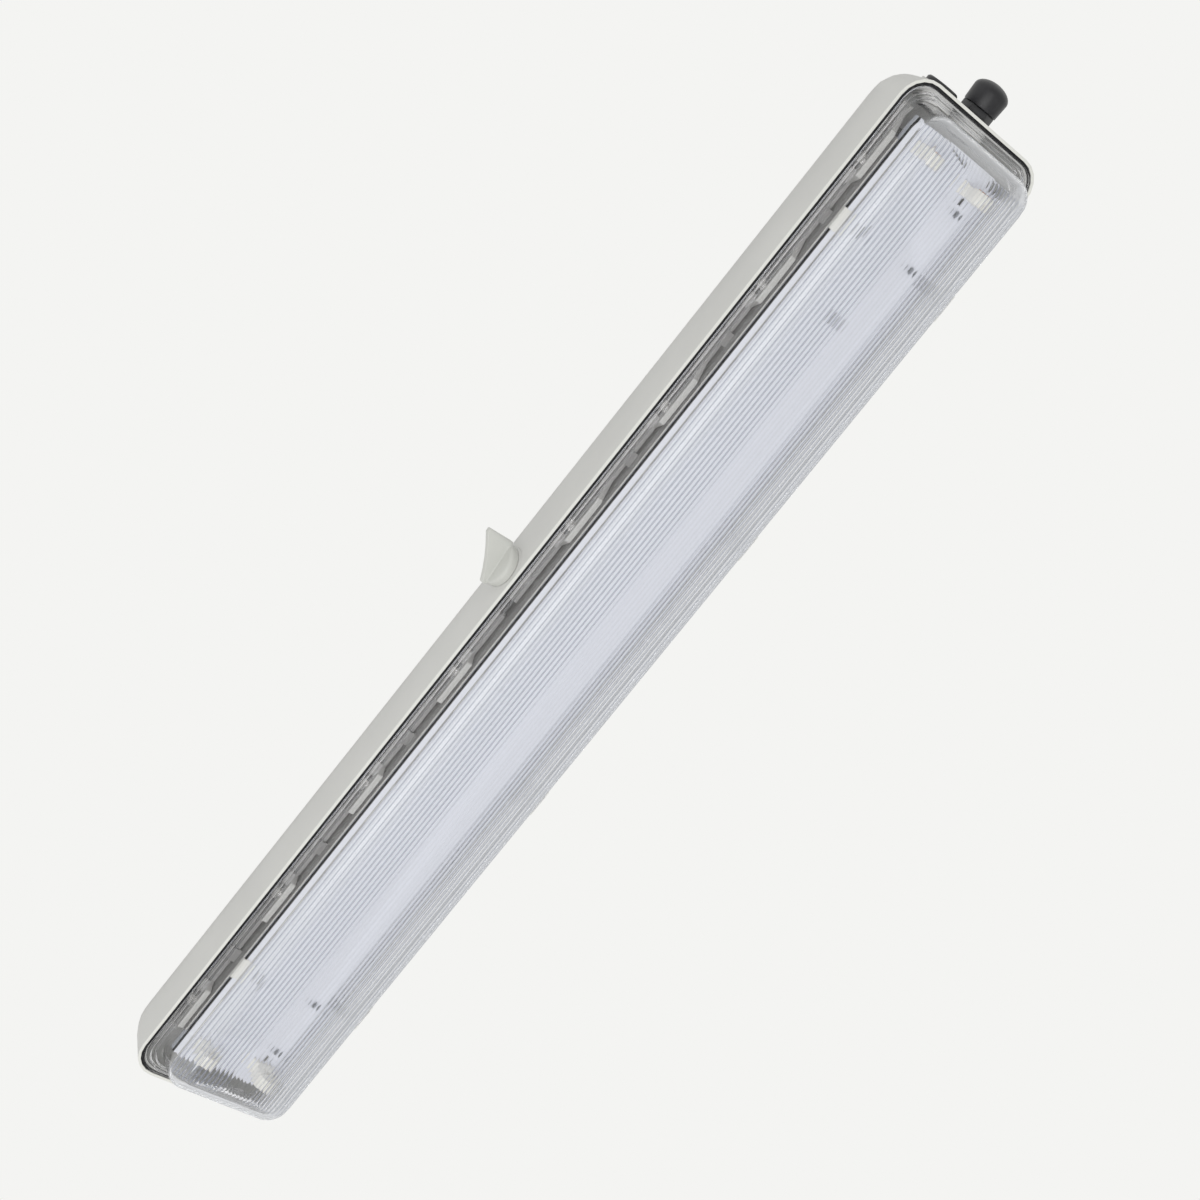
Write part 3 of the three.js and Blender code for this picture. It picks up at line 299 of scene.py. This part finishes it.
for number in range(1, 5):
    dress(f"tray_screw_{number}", "housing", zinc, edge_radius=0.0003)
    dress(f"hinge_pin_{number}", "housing", zinc, edge_radius=0.0002)


# Lampholders
# White moulded polycarbonate, snapped into the tray, each with a turning rotor that locks the two
# pins of a tube, and two spring contacts on its back.

# White polycarbonate: bright, half glossy, with a haze left by handling, in patches a finger wide
finger_patch = 0.0167
polycarbonate, surface = new_material("moulded_polycarbonate_white")
place = add(polycarbonate, "ShaderNodeTexCoord").outputs["Object"]
haze_and_painted_light = add(polycarbonate, "ShaderNodeTexNoise", {"Vector": place, "Scale": 1 / finger_patch})
shine = add(polycarbonate, "ShaderNodeMapRange", {
    "Value": haze_and_painted_light.outputs["Fac"], "To Min": 0.28, "To Max": 0.38,
})
polycarbonate.node_tree.links.new(shine.outputs["Result"], surface.inputs["Roughness"])
surface.inputs["Base Color"].default_value = srgb("#F0EFEA")

# Stamped bronze: warm copper colour, stained darker in spots of two millimetres
bronze_spot = 0.002
bronze, surface = new_material("stamped_bronze")
place = add(bronze, "ShaderNodeTexCoord").outputs["Object"]
stain = add(bronze, "ShaderNodeTexNoise", {"Vector": place, "Scale": 1 / bronze_spot})
patina = add(bronze, "ShaderNodeMix", {
    "Factor": stain.outputs["Fac"], "A": srgb("#B8703F"), "B": srgb("#D69A68"),
}, data_type="RGBA")
bronze.node_tree.links.new(patina.outputs["Result"], surface.inputs["Base Color"])
surface.inputs["Metallic"].default_value = 1.0
surface.inputs["Roughness"].default_value = 0.3

for end in ("left", "right"):
    for side in ("near", "far"):
        holder = f"{end}_{side}"
        dress(f"lampholder_{holder}", "housing", polycarbonate, edge_radius=0.0005)
        dress(f"rotor_{holder}", f"rotor_{holder}", polycarbonate, edge_radius=0.0004)
        for number in (1, 2):
            dress(f"contact_{holder}_{number}", "housing", bronze, edge_radius=0.0001)


# Wires and terminals
# Stiff single cores in white insulation, which join the lampholders to the ballast and the mains to a
# white moulded terminal block near the gland.

# Wire insulation: soft white with a little grime, smeared over a centimetre or so at a time
grime_smear = 0.0125
insulation, surface = new_material("wire_insulation_white")
place = add(insulation, "ShaderNodeTexCoord").outputs["Object"]
smear = add(insulation, "ShaderNodeTexNoise", {"Vector": place, "Scale": 1 / grime_smear})
grime = add(insulation, "ShaderNodeMix", {
    "Factor": smear.outputs["Fac"], "A": srgb("#D5D5D0"), "B": srgb("#E4E4E0"),
}, data_type="RGBA")
insulation.node_tree.links.new(grime.outputs["Result"], surface.inputs["Base Color"])
surface.inputs["Roughness"].default_value = 0.5

for end in ("left", "right"):
    for side in ("near", "far"):
        dress(f"lamp_wire_{end}_{side}", "housing", insulation, edge_radius=0, smooth_angle=60)
dress("mains_link", "housing", insulation, edge_radius=0, smooth_angle=60)
dress("terminal_block", "housing", polycarbonate, edge_radius=0.0005)


# Lock
# A moulded grey knob turns a pinion, and the pinion pushes two bars with racks in opposite ways, until
# their eight wedges stand under the catches of the bowl's hooks.

# Grey acetal of the knob: pale, waxy, faintly swirled by its flow into the mould
mould_swirl = 0.04
knob_acetal, surface = new_material("moulded_acetal_grey")
place = add(knob_acetal, "ShaderNodeTexCoord").outputs["Object"]
swirl = add(knob_acetal, "ShaderNodeTexNoise", {"Vector": place, "Scale": 1 / mould_swirl, "Detail": 3.0})
pale = add(knob_acetal, "ShaderNodeMix", {
    "Factor": swirl.outputs["Fac"], "A": srgb("#C9CAC6"), "B": srgb("#D8D9D5"),
}, data_type="RGBA")
knob_acetal.node_tree.links.new(pale.outputs["Result"], surface.inputs["Base Color"])
surface.inputs["Roughness"].default_value = 0.4

dress("lock_knob", "lock", knob_acetal, edge_radius=0.0012)
dress("lock_pinion", "lock", knob_acetal, edge_radius=0.0002)

# Dark grey acetal of the slide bars: swirled too, and drawn paler along the lower edges of the wedges
wedge_pale_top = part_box("lock_bar_left")[0].z + 0.0012
bar_acetal, surface = new_material("moulded_acetal_dark_grey")
place = add(bar_acetal, "ShaderNodeTexCoord").outputs["Object"]
swirl = add(bar_acetal, "ShaderNodeTexNoise", {"Vector": place, "Scale": 1 / mould_swirl, "Detail": 3.0})
dusk = add(bar_acetal, "ShaderNodeMix", {
    "Factor": swirl.outputs["Fac"], "A": srgb("#A3A2A1"), "B": srgb("#B2B1AF"),
}, data_type="RGBA")
split = add(bar_acetal, "ShaderNodeSeparateXYZ", {"Vector": place})
foot = add(bar_acetal, "ShaderNodeMath", {
    0: split.outputs["Z"], 1: wedge_pale_top,
}, operation="LESS_THAN")
pale_edged = add(bar_acetal, "ShaderNodeMix", {
    "Factor": foot.outputs[0], "A": dusk.outputs["Result"], "B": srgb("#D2D2D0"),
}, data_type="RGBA")
bar_acetal.node_tree.links.new(pale_edged.outputs["Result"], surface.inputs["Base Color"])
surface.inputs["Roughness"].default_value = 0.35

dress("lock_bar_left", "bar_left", bar_acetal, edge_radius=0.0006)
dress("lock_bar_right", "bar_right", bar_acetal, edge_radius=0.0006)


# Cable entries
# Two entries in the right end wall, moulded in black polyamide: a gland with its closed cap, and a flat
# blanking plug. Nuts hold both from inside, and a washer seals the gland.

# Black polyamide: almost black, its shine broken by a faint bloom in patches of a centimetre
bloom_patch = 0.011
polyamide, surface = new_material("moulded_polyamide_black")
place = add(polyamide, "ShaderNodeTexCoord").outputs["Object"]
bloom_and_painted_light = add(polyamide, "ShaderNodeTexNoise", {"Vector": place, "Scale": 1 / bloom_patch, "Detail": 3.0})
shine = add(polyamide, "ShaderNodeMapRange", {"Value": bloom_and_painted_light.outputs["Fac"], "To Min": 0.32, "To Max": 0.5})
polyamide.node_tree.links.new(shine.outputs["Result"], surface.inputs["Roughness"])
surface.inputs["Base Color"].default_value = srgb("#242428")

dress("gland_body", "housing", polyamide, edge_radius=0.0006)
dress("gland_washer", "housing", foam, edge_radius=0.0003)
dress("gland_cap", "housing", polyamide, edge_radius=0.0005)
dress("gland_lock_nut", "housing", bar_acetal, edge_radius=0.0005)
dress("blanking_plug", "housing", polyamide, edge_radius=0.0006)
dress("plug_lock_nut", "housing", bar_acetal, edge_radius=0.0005)


# Bowl
# Injection-moulded clear acrylic, ribbed lengthwise on its front, with smooth walls and flange. It
# hangs on four hinge pins and is held shut by eight hooks moulded onto its flange.
bowl_low, bowl_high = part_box("bowl")
flange_x = bowl_high.x - 0.0006
flange_y = -bowl_low.y - 0.0006
flange_thickness = 0.003
flange_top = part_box("gasket")[0].z - 0.0003
flange_face = flange_top - flange_thickness
flange_corner = 0.0252
bead_corner = 0.0265
bead_slope = 0.0004
bead_gap = 0.00001
wall_inset = 0.0127
wall_draft = 0.001
wall_corner = 0.028
shoulder_radius = 0.018
shoulder_steps = 8
crown_edge = bowl_low.z + 0.0068
crown_rise = 0.006
crown_corner = 0.012
crown_end_span = 0.02
shoulder_x = flange_x - wall_inset - wall_draft - shoulder_radius
shoulder_y = flange_y - wall_inset - wall_draft - shoulder_radius


def add_outline(half_x, half_y, corner, depth):
    """Adds a rectangle with round corners to the mesh in edit mode, as edges in a group of its own."""
    bpy.ops.mesh.select_all(action="DESELECT")
    bpy.ops.mesh.primitive_plane_add(size=2, location=(0, 0, depth))
    bpy.ops.transform.resize(value=(half_x, half_y, 1), center_override=(0, 0, depth))
    bpy.ops.mesh.bevel(offset=corner, segments=8, affect="VERTICES")
    bpy.ops.object.vertex_group_add()
    bpy.ops.object.vertex_group_assign()
    bpy.ops.mesh.delete(type="ONLY_FACE")


def select_outlines(piece, *numbers):
    """Selects the vertices of some of the outlines, counted from 0 in the order they were added."""
    bpy.ops.mesh.select_all(action="DESELECT")
    for number in numbers:
        piece.vertex_groups.active_index = number
        bpy.ops.object.vertex_group_select()


# Outlines of the outer skin: flange with two fine beads, each with its start, width and height, then
# wall, shoulder and crown. Each is a hair lower than the one before, since level ones don't bridge well
outlines = [(flange_x, flange_y, flange_corner, flange_face)]
for start, width, height in ((0.0032, 0.0024, 0.0009), (0.0076, 0.0016, 0.0005)):
    for inset, drop in ((0, 0), (bead_slope, height), (width - bead_slope, height), (width, 0)):
        reach = start + inset
        fall = bead_gap * len(outlines)
        outlines.append((flange_x - reach, flange_y - reach, bead_corner, flange_face - drop - fall))
fall = bead_gap * (len(outlines) + 1)
outlines.append((flange_x - wall_inset, flange_y - wall_inset, wall_corner, flange_face - fall))
for step in range(shoulder_steps + 1):
    share = step / shoulder_steps
    angle = share * pi / 2
    outlines.append((
        shoulder_x + shoulder_radius * cos(angle),
        shoulder_y + shoulder_radius * cos(angle),
        wall_corner + (crown_corner - wall_corner) * share,
        crown_edge + shoulder_radius * (1 - sin(angle)),
    ))
for share in (0.1, 0.22, 0.36, 0.52, 0.7, 0.88, 0.98):
    outlines.append((
        shoulder_x - crown_end_span * share,
        shoulder_y * (1 - share),
        min(crown_corner, shoulder_y * (1 - share) * 0.6),
        crown_edge - crown_rise * (1 - (1 - share) ** 2),
    ))

bpy.ops.object.select_all(action="DESELECT")
bpy.ops.mesh.primitive_plane_add(size=1, location=(0, 0, 0))
bowl = bpy.context.object
bowl.name = "bowl_skin"
bpy.ops.object.mode_set(mode="EDIT")
bpy.ops.mesh.delete(type="VERT")
bpy.ops.mesh.select_mode(type="VERT")
for number, outline in enumerate(outlines):
    add_outline(*outline)
    if number:
        select_outlines(bowl, number - 1, number)
        bpy.ops.mesh.bridge_edge_loops()
select_outlines(bowl, len(outlines) - 1)
bpy.ops.mesh.edge_face_add()
bpy.ops.mesh.select_all(action="SELECT")
bpy.ops.mesh.normals_make_consistent(inside=False)
bpy.ops.object.mode_set(mode="OBJECT")
bpy.ops.object.vertex_group_remove(all=True)

# Its wall, which gives the flange and the inside of the walls their thickness
wall = bowl.modifiers.new("wall", "SOLIDIFY")
wall.thickness = flange_thickness
wall.offset = -1
wall.use_even_offset = True
bpy.ops.object.modifier_apply(modifier="wall")

# Ribs, counted by the way round the outside of the bowl from its middle line: cuts through the outer
# skin of the crown and of both long shoulders, and the lines between them drawn out by half a millimetre.
# They are low in the plain middle band
rib_pitch = 0.005
rib_height = 0.0005
rib_half = 0.0019
rib_camber = 0.2
rib_end = 0.6268
rib_run_out = 0.004
rib_lines = (-rib_pitch / 2, -rib_half, 0, rib_half)
crown_ribs = 11
shoulder_ribs = range(crown_ribs + 1, 18)
shoulder_rib_end = 0.619
shoulder_axis = crown_edge + shoulder_radius
plain_half = 0.0175
plain_share = 0.3
skin_depth = 0.0012
skin_gap = 0.0002
lowest_angle = 0.02
highest_angle = pi / 2 - 0.1
shoulder_rib_foot = 0.002


def rib_share(way, along, end):
    """How far the skin is drawn out, as a share of the full height, at a way round and a length."""
    offset = abs(way - round(way / rib_pitch) * rib_pitch)
    share = 1 - rib_camber * offset / rib_half
    if offset > rib_half:
        share = (1 - rib_camber) * (rib_pitch / 2 - offset) / (rib_pitch / 2 - rib_half)
    return share * min(1, (end - abs(along)) / rib_run_out)


def cut_skin(piece, place, direction, chosen):
    """Cuts the faces whose middle and normal are in the chosen part of the bowl, along a plane."""
    mesh = bmesh.from_edit_mesh(piece.data)
    for face in mesh.faces:
        face.select_set(chosen(face.calc_center_median(), face.normal))
    bmesh.update_edit_mesh(piece.data)
    bpy.ops.mesh.bisect(plane_co=place, plane_no=direction)


def on_crown(middle, normal):
    """Whether a face is on the outer skin of the crown."""
    return normal.z < -0.5 and middle.z < crown_edge and abs(middle.y) < shoulder_y


def on_shoulder(middle, normal):
    """Whether a face or a vertex is on the outer skin of a long shoulder, short of the ends."""
    reach = Vector((abs(middle.y) - shoulder_y, middle.z - shoulder_axis))
    on_skin = reach.length > shoulder_radius - skin_depth and reach.x > 0 and reach.y < 0
    return on_skin and abs(middle.x) < shoulder_rib_end


bpy.ops.object.mode_set(mode="EDIT")
bpy.ops.mesh.select_mode(type="FACE")
for x in (rib_end, rib_end - rib_run_out):
    cut_skin(bowl, (x, 0, 0), (1, 0, 0), on_crown)
    cut_skin(bowl, (-x, 0, 0), (1, 0, 0), on_crown)
for rib in range(-crown_ribs, crown_ribs + 1):
    for offset in rib_lines:
        cut_skin(bowl, (0, rib * rib_pitch + offset, 0), (0, 1, 0), on_crown)
for x in (shoulder_rib_end, shoulder_rib_end - rib_run_out):
    cut_skin(bowl, (x, 0, 0), (1, 0, 0), on_shoulder)
    cut_skin(bowl, (-x, 0, 0), (1, 0, 0), on_shoulder)
for rib in shoulder_ribs:
    for offset in rib_lines:
        angle = (rib * rib_pitch + offset - shoulder_y) / shoulder_radius
        if lowest_angle < angle < highest_angle:
            for side in (-1, 1):
                edge = (0, side * shoulder_y, shoulder_axis)
                cut_skin(bowl, edge, (0, side * cos(angle), sin(angle)), on_shoulder)
mesh = bmesh.from_edit_mesh(bowl.data)
for vertex in mesh.verts:
    x, y, z = vertex.co
    reach = Vector((abs(y) - shoulder_y, z - shoulder_axis))
    if abs(x) < rib_end and abs(y) < (crown_ribs + 0.5) * rib_pitch and z < crown_edge - skin_gap:
        height = rib_height if abs(y) > plain_half else rib_height * plain_share
        vertex.co.z -= height * rib_share(y, x, rib_end)
    elif abs(x) < shoulder_rib_end and on_shoulder(vertex.co, None) and reach.y < -shoulder_rib_foot:
        way = shoulder_y + shoulder_radius * atan2(reach.x, -reach.y)
        move = reach.normalized() * rib_height * rib_share(way, x, shoulder_rib_end)
        vertex.co += Vector((0, move.x if y > 0 else -move.x, move.y))
bmesh.update_edit_mesh(bowl.data)
bpy.ops.object.mode_set(mode="OBJECT")

# Hooks and hinge knuckles, cut from the solid bowl just clear of the flange: for each, a point and a
# direction of the cut, the way that its root then moves, and the side of the bowl that it isn't on. The
# knuckles grow into the flange's edge, and the hooks stand on its face with a gap too thin to see
root_cut = 0.0002
knuckle_root = 0.0032
hook_gap = 0.00002
finger_edge = 0.0004
finger_cuts = {
    "knuckles": ((0, flange_y + root_cut, 0), (0, -1, 0), (0, -knuckle_root, 0), (0, -1, 0)),
    "hooks": ((0, 0, flange_top + root_cut), (0, 0, -1), (0, 0, hook_gap - root_cut), (0, 1, 0)),
}
for name, (place, direction, root_reach, other_side) in finger_cuts.items():
    fingers = clean_copy("bowl", 0)
    fingers.name = name
    bpy.ops.object.mode_set(mode="EDIT")
    bpy.ops.mesh.select_all(action="SELECT")
    bpy.ops.mesh.bisect(plane_co=(0, 0, 0), plane_no=other_side, clear_outer=True)
    bpy.ops.mesh.select_all(action="SELECT")
    bpy.ops.mesh.bisect(plane_co=place, plane_no=direction, use_fill=True, clear_outer=True)
    bpy.ops.transform.translate(value=root_reach)
    bpy.ops.object.mode_set(mode="OBJECT")
    edges = fingers.modifiers.new("edges", "BEVEL")
    edges.width = finger_edge
    edges.segments = 2
    bpy.ops.object.modifier_apply(modifier="edges")
    bpy.ops.object.select_all(action="DESELECT")
    bowl.select_set(True)
    bpy.context.view_layer.objects.active = bowl
    if name == "hooks":
        fingers.select_set(True)
        bpy.ops.object.join()
    else:
        joint = bowl.modifiers.new(name, "BOOLEAN")
        joint.operation = "UNION"
        joint.solver = "FAST"
        joint.object = fingers
        bpy.ops.object.modifier_apply(modifier=name)
        bpy.data.objects.remove(fingers)
bpy.ops.object.shade_smooth_by_angle(angle=radians(32))

# Clear acrylic: glossy, see-through, a little scuffed. Painted shade lies as dark grey lines in the sharp
# valleys between its ribs, and the small hooks carry a painted highlight of matt white. Its long shoulders
# and its ends are mixed with a pale matt shader, most on the far side
scuff_size = 0.025
valley_core = 0.05
valley_edge = 0.11
valley_line_strength = 0.6
plain_line_strength = 0.15
line_fade = 0.006
line_top = crown_edge + 0.015
hook_foot = flange_top + 0.0003
hook_highlight_share = 0.4
bend_top = crown_edge + 0.022
bend_fade = 0.010
bend_pale_share = 0.28
acrylic, surface = new_material("moulded_acrylic_clear")
place = add(acrylic, "ShaderNodeTexCoord").outputs["Object"]
scuffs = add(acrylic, "ShaderNodeTexNoise", {"Vector": place, "Scale": 1 / scuff_size, "Detail": 3.0})
polish = add(acrylic, "ShaderNodeMapRange", {
    "Value": scuffs.outputs["Fac"], "To Min": 0.02, "To Max": 0.08,
})
acrylic.node_tree.links.new(polish.outputs["Result"], surface.inputs["Roughness"])
surface.inputs["Base Color"].default_value = srgb("#FAFAFC")
surface.inputs["IOR"].default_value = 1.49
surface.inputs["Transmission Weight"].default_value = 1.0

# The way round the outside of the bowl, as the ribs are counted
split = add(acrylic, "ShaderNodeSeparateXYZ", {"Vector": place})
across = add(acrylic, "ShaderNodeMath", {0: split.outputs["Y"]}, operation="ABSOLUTE")
along = add(acrylic, "ShaderNodeMath", {0: split.outputs["X"]}, operation="ABSOLUTE")
past_crown = add(acrylic, "ShaderNodeMath", {0: across.outputs[0], 1: shoulder_y}, operation="SUBTRACT")
past_edge = add(acrylic, "ShaderNodeMath", {0: past_crown.outputs[0], 1: 0.0}, operation="MAXIMUM")
below_wall = add(acrylic, "ShaderNodeMath", {
    0: crown_edge + shoulder_radius, 1: split.outputs["Z"],
}, operation="SUBTRACT")
round_angle = add(acrylic, "ShaderNodeMath", {
    0: past_edge.outputs[0], 1: below_wall.outputs[0],
}, operation="ARCTAN2")
round_way = add(acrylic, "ShaderNodeMath", {
    0: round_angle.outputs[0], 1: shoulder_radius,
}, operation="MULTIPLY")
flat_way = add(acrylic, "ShaderNodeMath", {0: across.outputs[0], 1: shoulder_y}, operation="MINIMUM")
girth = add(acrylic, "ShaderNodeMath", {0: flat_way.outputs[0], 1: round_way.outputs[0]}, operation="ADD")

# Painted shade as dark lines in the valleys, faint in the plain middle band, and a painted highlight on the
# hooks
turn = add(acrylic, "ShaderNodeMath", {0: girth.outputs[0], 1: rib_pitch}, operation="DIVIDE")
phase = add(acrylic, "ShaderNodeMath", {0: turn.outputs[0]}, operation="FRACT")
from_valley = add(acrylic, "ShaderNodeMath", {0: phase.outputs[0], 1: 0.5}, operation="SUBTRACT")
valley_gap = add(acrylic, "ShaderNodeMath", {0: from_valley.outputs[0]}, operation="ABSOLUTE")
valley = add(acrylic, "ShaderNodeMapRange", {
    "Value": valley_gap.outputs[0], "From Min": valley_core, "From Max": valley_edge,
    "To Min": 1.0, "To Max": 0.0,
})
below = add(acrylic, "ShaderNodeMath", {0: split.outputs["Z"], 1: line_top}, operation="LESS_THAN")
between_ends = add(acrylic, "ShaderNodeMath", {0: along.outputs[0], 1: rib_end}, operation="LESS_THAN")
off_middle = add(acrylic, "ShaderNodeMapRange", {
    "Value": across.outputs[0], "From Min": plain_half - line_fade, "From Max": plain_half + line_fade,
    "To Min": plain_line_strength, "To Max": 1.0,
})
ribbed = add(acrylic, "ShaderNodeMath", {
    0: below.outputs[0], 1: between_ends.outputs[0],
}, operation="MULTIPLY")
lined = add(acrylic, "ShaderNodeMath", {
    0: ribbed.outputs[0], 1: off_middle.outputs["Result"],
}, operation="MULTIPLY")
# Painted shade: dark lines in the valleys between the ribs
valley_lines = add(acrylic, "ShaderNodeMath", {
    0: valley.outputs["Result"], 1: lined.outputs[0],
}, operation="MULTIPLY")
valley_line_part = add(acrylic, "ShaderNodeMath", {0: valley_lines.outputs[0], 1: valley_line_strength}, operation="MULTIPLY")
# Painted highlight: the hooks mixed with matt white
on_hook = add(acrylic, "ShaderNodeMath", {0: split.outputs["Z"], 1: hook_foot}, operation="GREATER_THAN")
hook_highlight = add(acrylic, "ShaderNodeMath", {0: on_hook.outputs[0], 1: hook_highlight_share}, operation="MULTIPLY")
painted_light_share = add(acrylic, "ShaderNodeMath", {
    0: valley_line_part.outputs[0], 1: hook_highlight.outputs[0],
}, operation="MAXIMUM")

# A pale matt shader mixed over the bends below the walls: for the near shoulder, the far shoulder and the
# ends, the way that it grows along, where it starts, where it is full, and how strong it is there
near_side, far_side, at_end = [
    add(acrylic, "ShaderNodeMapRange", {"Value": way, "From Min": start, "From Max": end, "To Max": most})
    for way, start, end, most in (
        (split.outputs["Y"], -0.052, -0.062, 0.45),
        (split.outputs["Y"], 0.026, 0.072, 2.2),
        (along.outputs[0], 0.618, 0.640, 1.3),
    )
]
at_side = add(acrylic, "ShaderNodeMath", {
    0: near_side.outputs["Result"], 1: far_side.outputs["Result"],
}, operation="MAXIMUM")
outer = add(acrylic, "ShaderNodeMath", {
    0: at_side.outputs[0], 1: at_end.outputs["Result"],
}, operation="MAXIMUM")
low = add(acrylic, "ShaderNodeMapRange", {
    "Value": split.outputs["Z"], "From Min": bend_top - bend_fade, "From Max": bend_top,
    "To Min": 1.0, "To Max": 0.0,
})
bent = add(acrylic, "ShaderNodeMath", {0: outer.outputs[0], 1: low.outputs["Result"]}, operation="MULTIPLY")
bent_share = add(acrylic, "ShaderNodeMath", {0: bent.outputs[0], 1: bend_pale_share}, operation="MULTIPLY")
dull = add(acrylic, "ShaderNodeBsdfDiffuse", {"Color": srgb("#E9EBF0")})
# Grey for the painted shade lines in the valleys, white for the painted highlight on the hooks
bloom_and_painted_light = add(acrylic, "ShaderNodeMix", {
    "Factor": on_hook.outputs[0], "A": srgb("#9A9FB0"), "B": srgb("#F4F2EE"),
}, data_type="RGBA")
haze_and_painted_light = add(acrylic, "ShaderNodeBsdfDiffuse", {"Color": bloom_and_painted_light.outputs["Result"]})
veiled = add(acrylic, "ShaderNodeMixShader", {
    0: bent_share.outputs[0], 1: surface.outputs[0], 2: dull.outputs[0],
})
with_painted_light = add(acrylic, "ShaderNodeMixShader", {
    0: painted_light_share.outputs[0], 1: veiled.outputs[0], 2: haze_and_painted_light.outputs[0],
})

# Light from the lamp and between matt faces passes the acrylic straight, so that it isn't dark inside
path = add(acrylic, "ShaderNodeLightPath")
unlit = add(acrylic, "ShaderNodeMath", {
    0: path.outputs["Is Shadow Ray"], 1: path.outputs["Is Diffuse Ray"],
}, operation="MAXIMUM")
clear = add(acrylic, "ShaderNodeBsdfTransparent")
choice = add(acrylic, "ShaderNodeMixShader", {
    0: unlit.outputs[0], 1: with_painted_light.outputs[0], 2: clear.outputs[0],
})
acrylic.node_tree.links.new(choice.outputs[0], acrylic.node_tree.nodes["Material Output"].inputs["Surface"])
bowl.data.materials.clear()
bowl.data.materials.append(acrylic)
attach(bowl, "bowl")
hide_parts("bowl")


# Room
# A wide, plain, pale floor three metres below the fixture, one soft lamp below it on the camera's side,
# and a pale even surround. Glass and metal show the surround as pale as the camera does.
floor_depth = -3.0
floor_size = 60.0
lamp_place = Vector((-0.3, -1.5, -2.4))
lamp_size = 2.4
lamp_power = 30
surround_light = 0.75
bpy.ops.mesh.primitive_plane_add(size=floor_size, location=(0, 0, floor_depth))
floor = bpy.context.object
floor.name = "floor"

# Floor: plain, pale and matt
paving, surface = new_material("plain_pale_floor")
surface.inputs["Base Color"].default_value = srgb("#F4F4F2")
surface.inputs["Roughness"].default_value = 0.8
floor.data.materials.append(paving)

bpy.ops.object.light_add(type="AREA", location=lamp_place)
lamp = bpy.context.object
lamp.name = "softbox"
lamp.data.size = lamp_size
lamp.data.energy = lamp_power
lamp.rotation_euler = (-lamp_place).to_track_quat("-Z", "Y").to_euler()

surround = bpy.data.worlds.new("pale_surround")
bpy.context.scene.world = surround
surround.use_nodes = True
sky = surround.node_tree.nodes["Background"]
sky.inputs["Color"].default_value = srgb("#F4F4F2")
seen = add(surround, "ShaderNodeLightPath")
seen_or_shiny = add(surround, "ShaderNodeMath", {
    0: seen.outputs["Is Camera Ray"], 1: seen.outputs["Is Glossy Ray"],
}, operation="MAXIMUM")
seen_at_all = add(surround, "ShaderNodeMath", {
    0: seen_or_shiny.outputs[0], 1: seen.outputs["Is Transmission Ray"],
}, operation="MAXIMUM")
level = add(surround, "ShaderNodeMapRange", {
    "Value": seen_at_all.outputs[0], "To Min": surround_light, "To Max": 1.0,
})
surround.node_tree.links.new(level.outputs["Result"], sky.inputs["Strength"])

bpy.context.scene.view_settings.view_transform = "Standard"
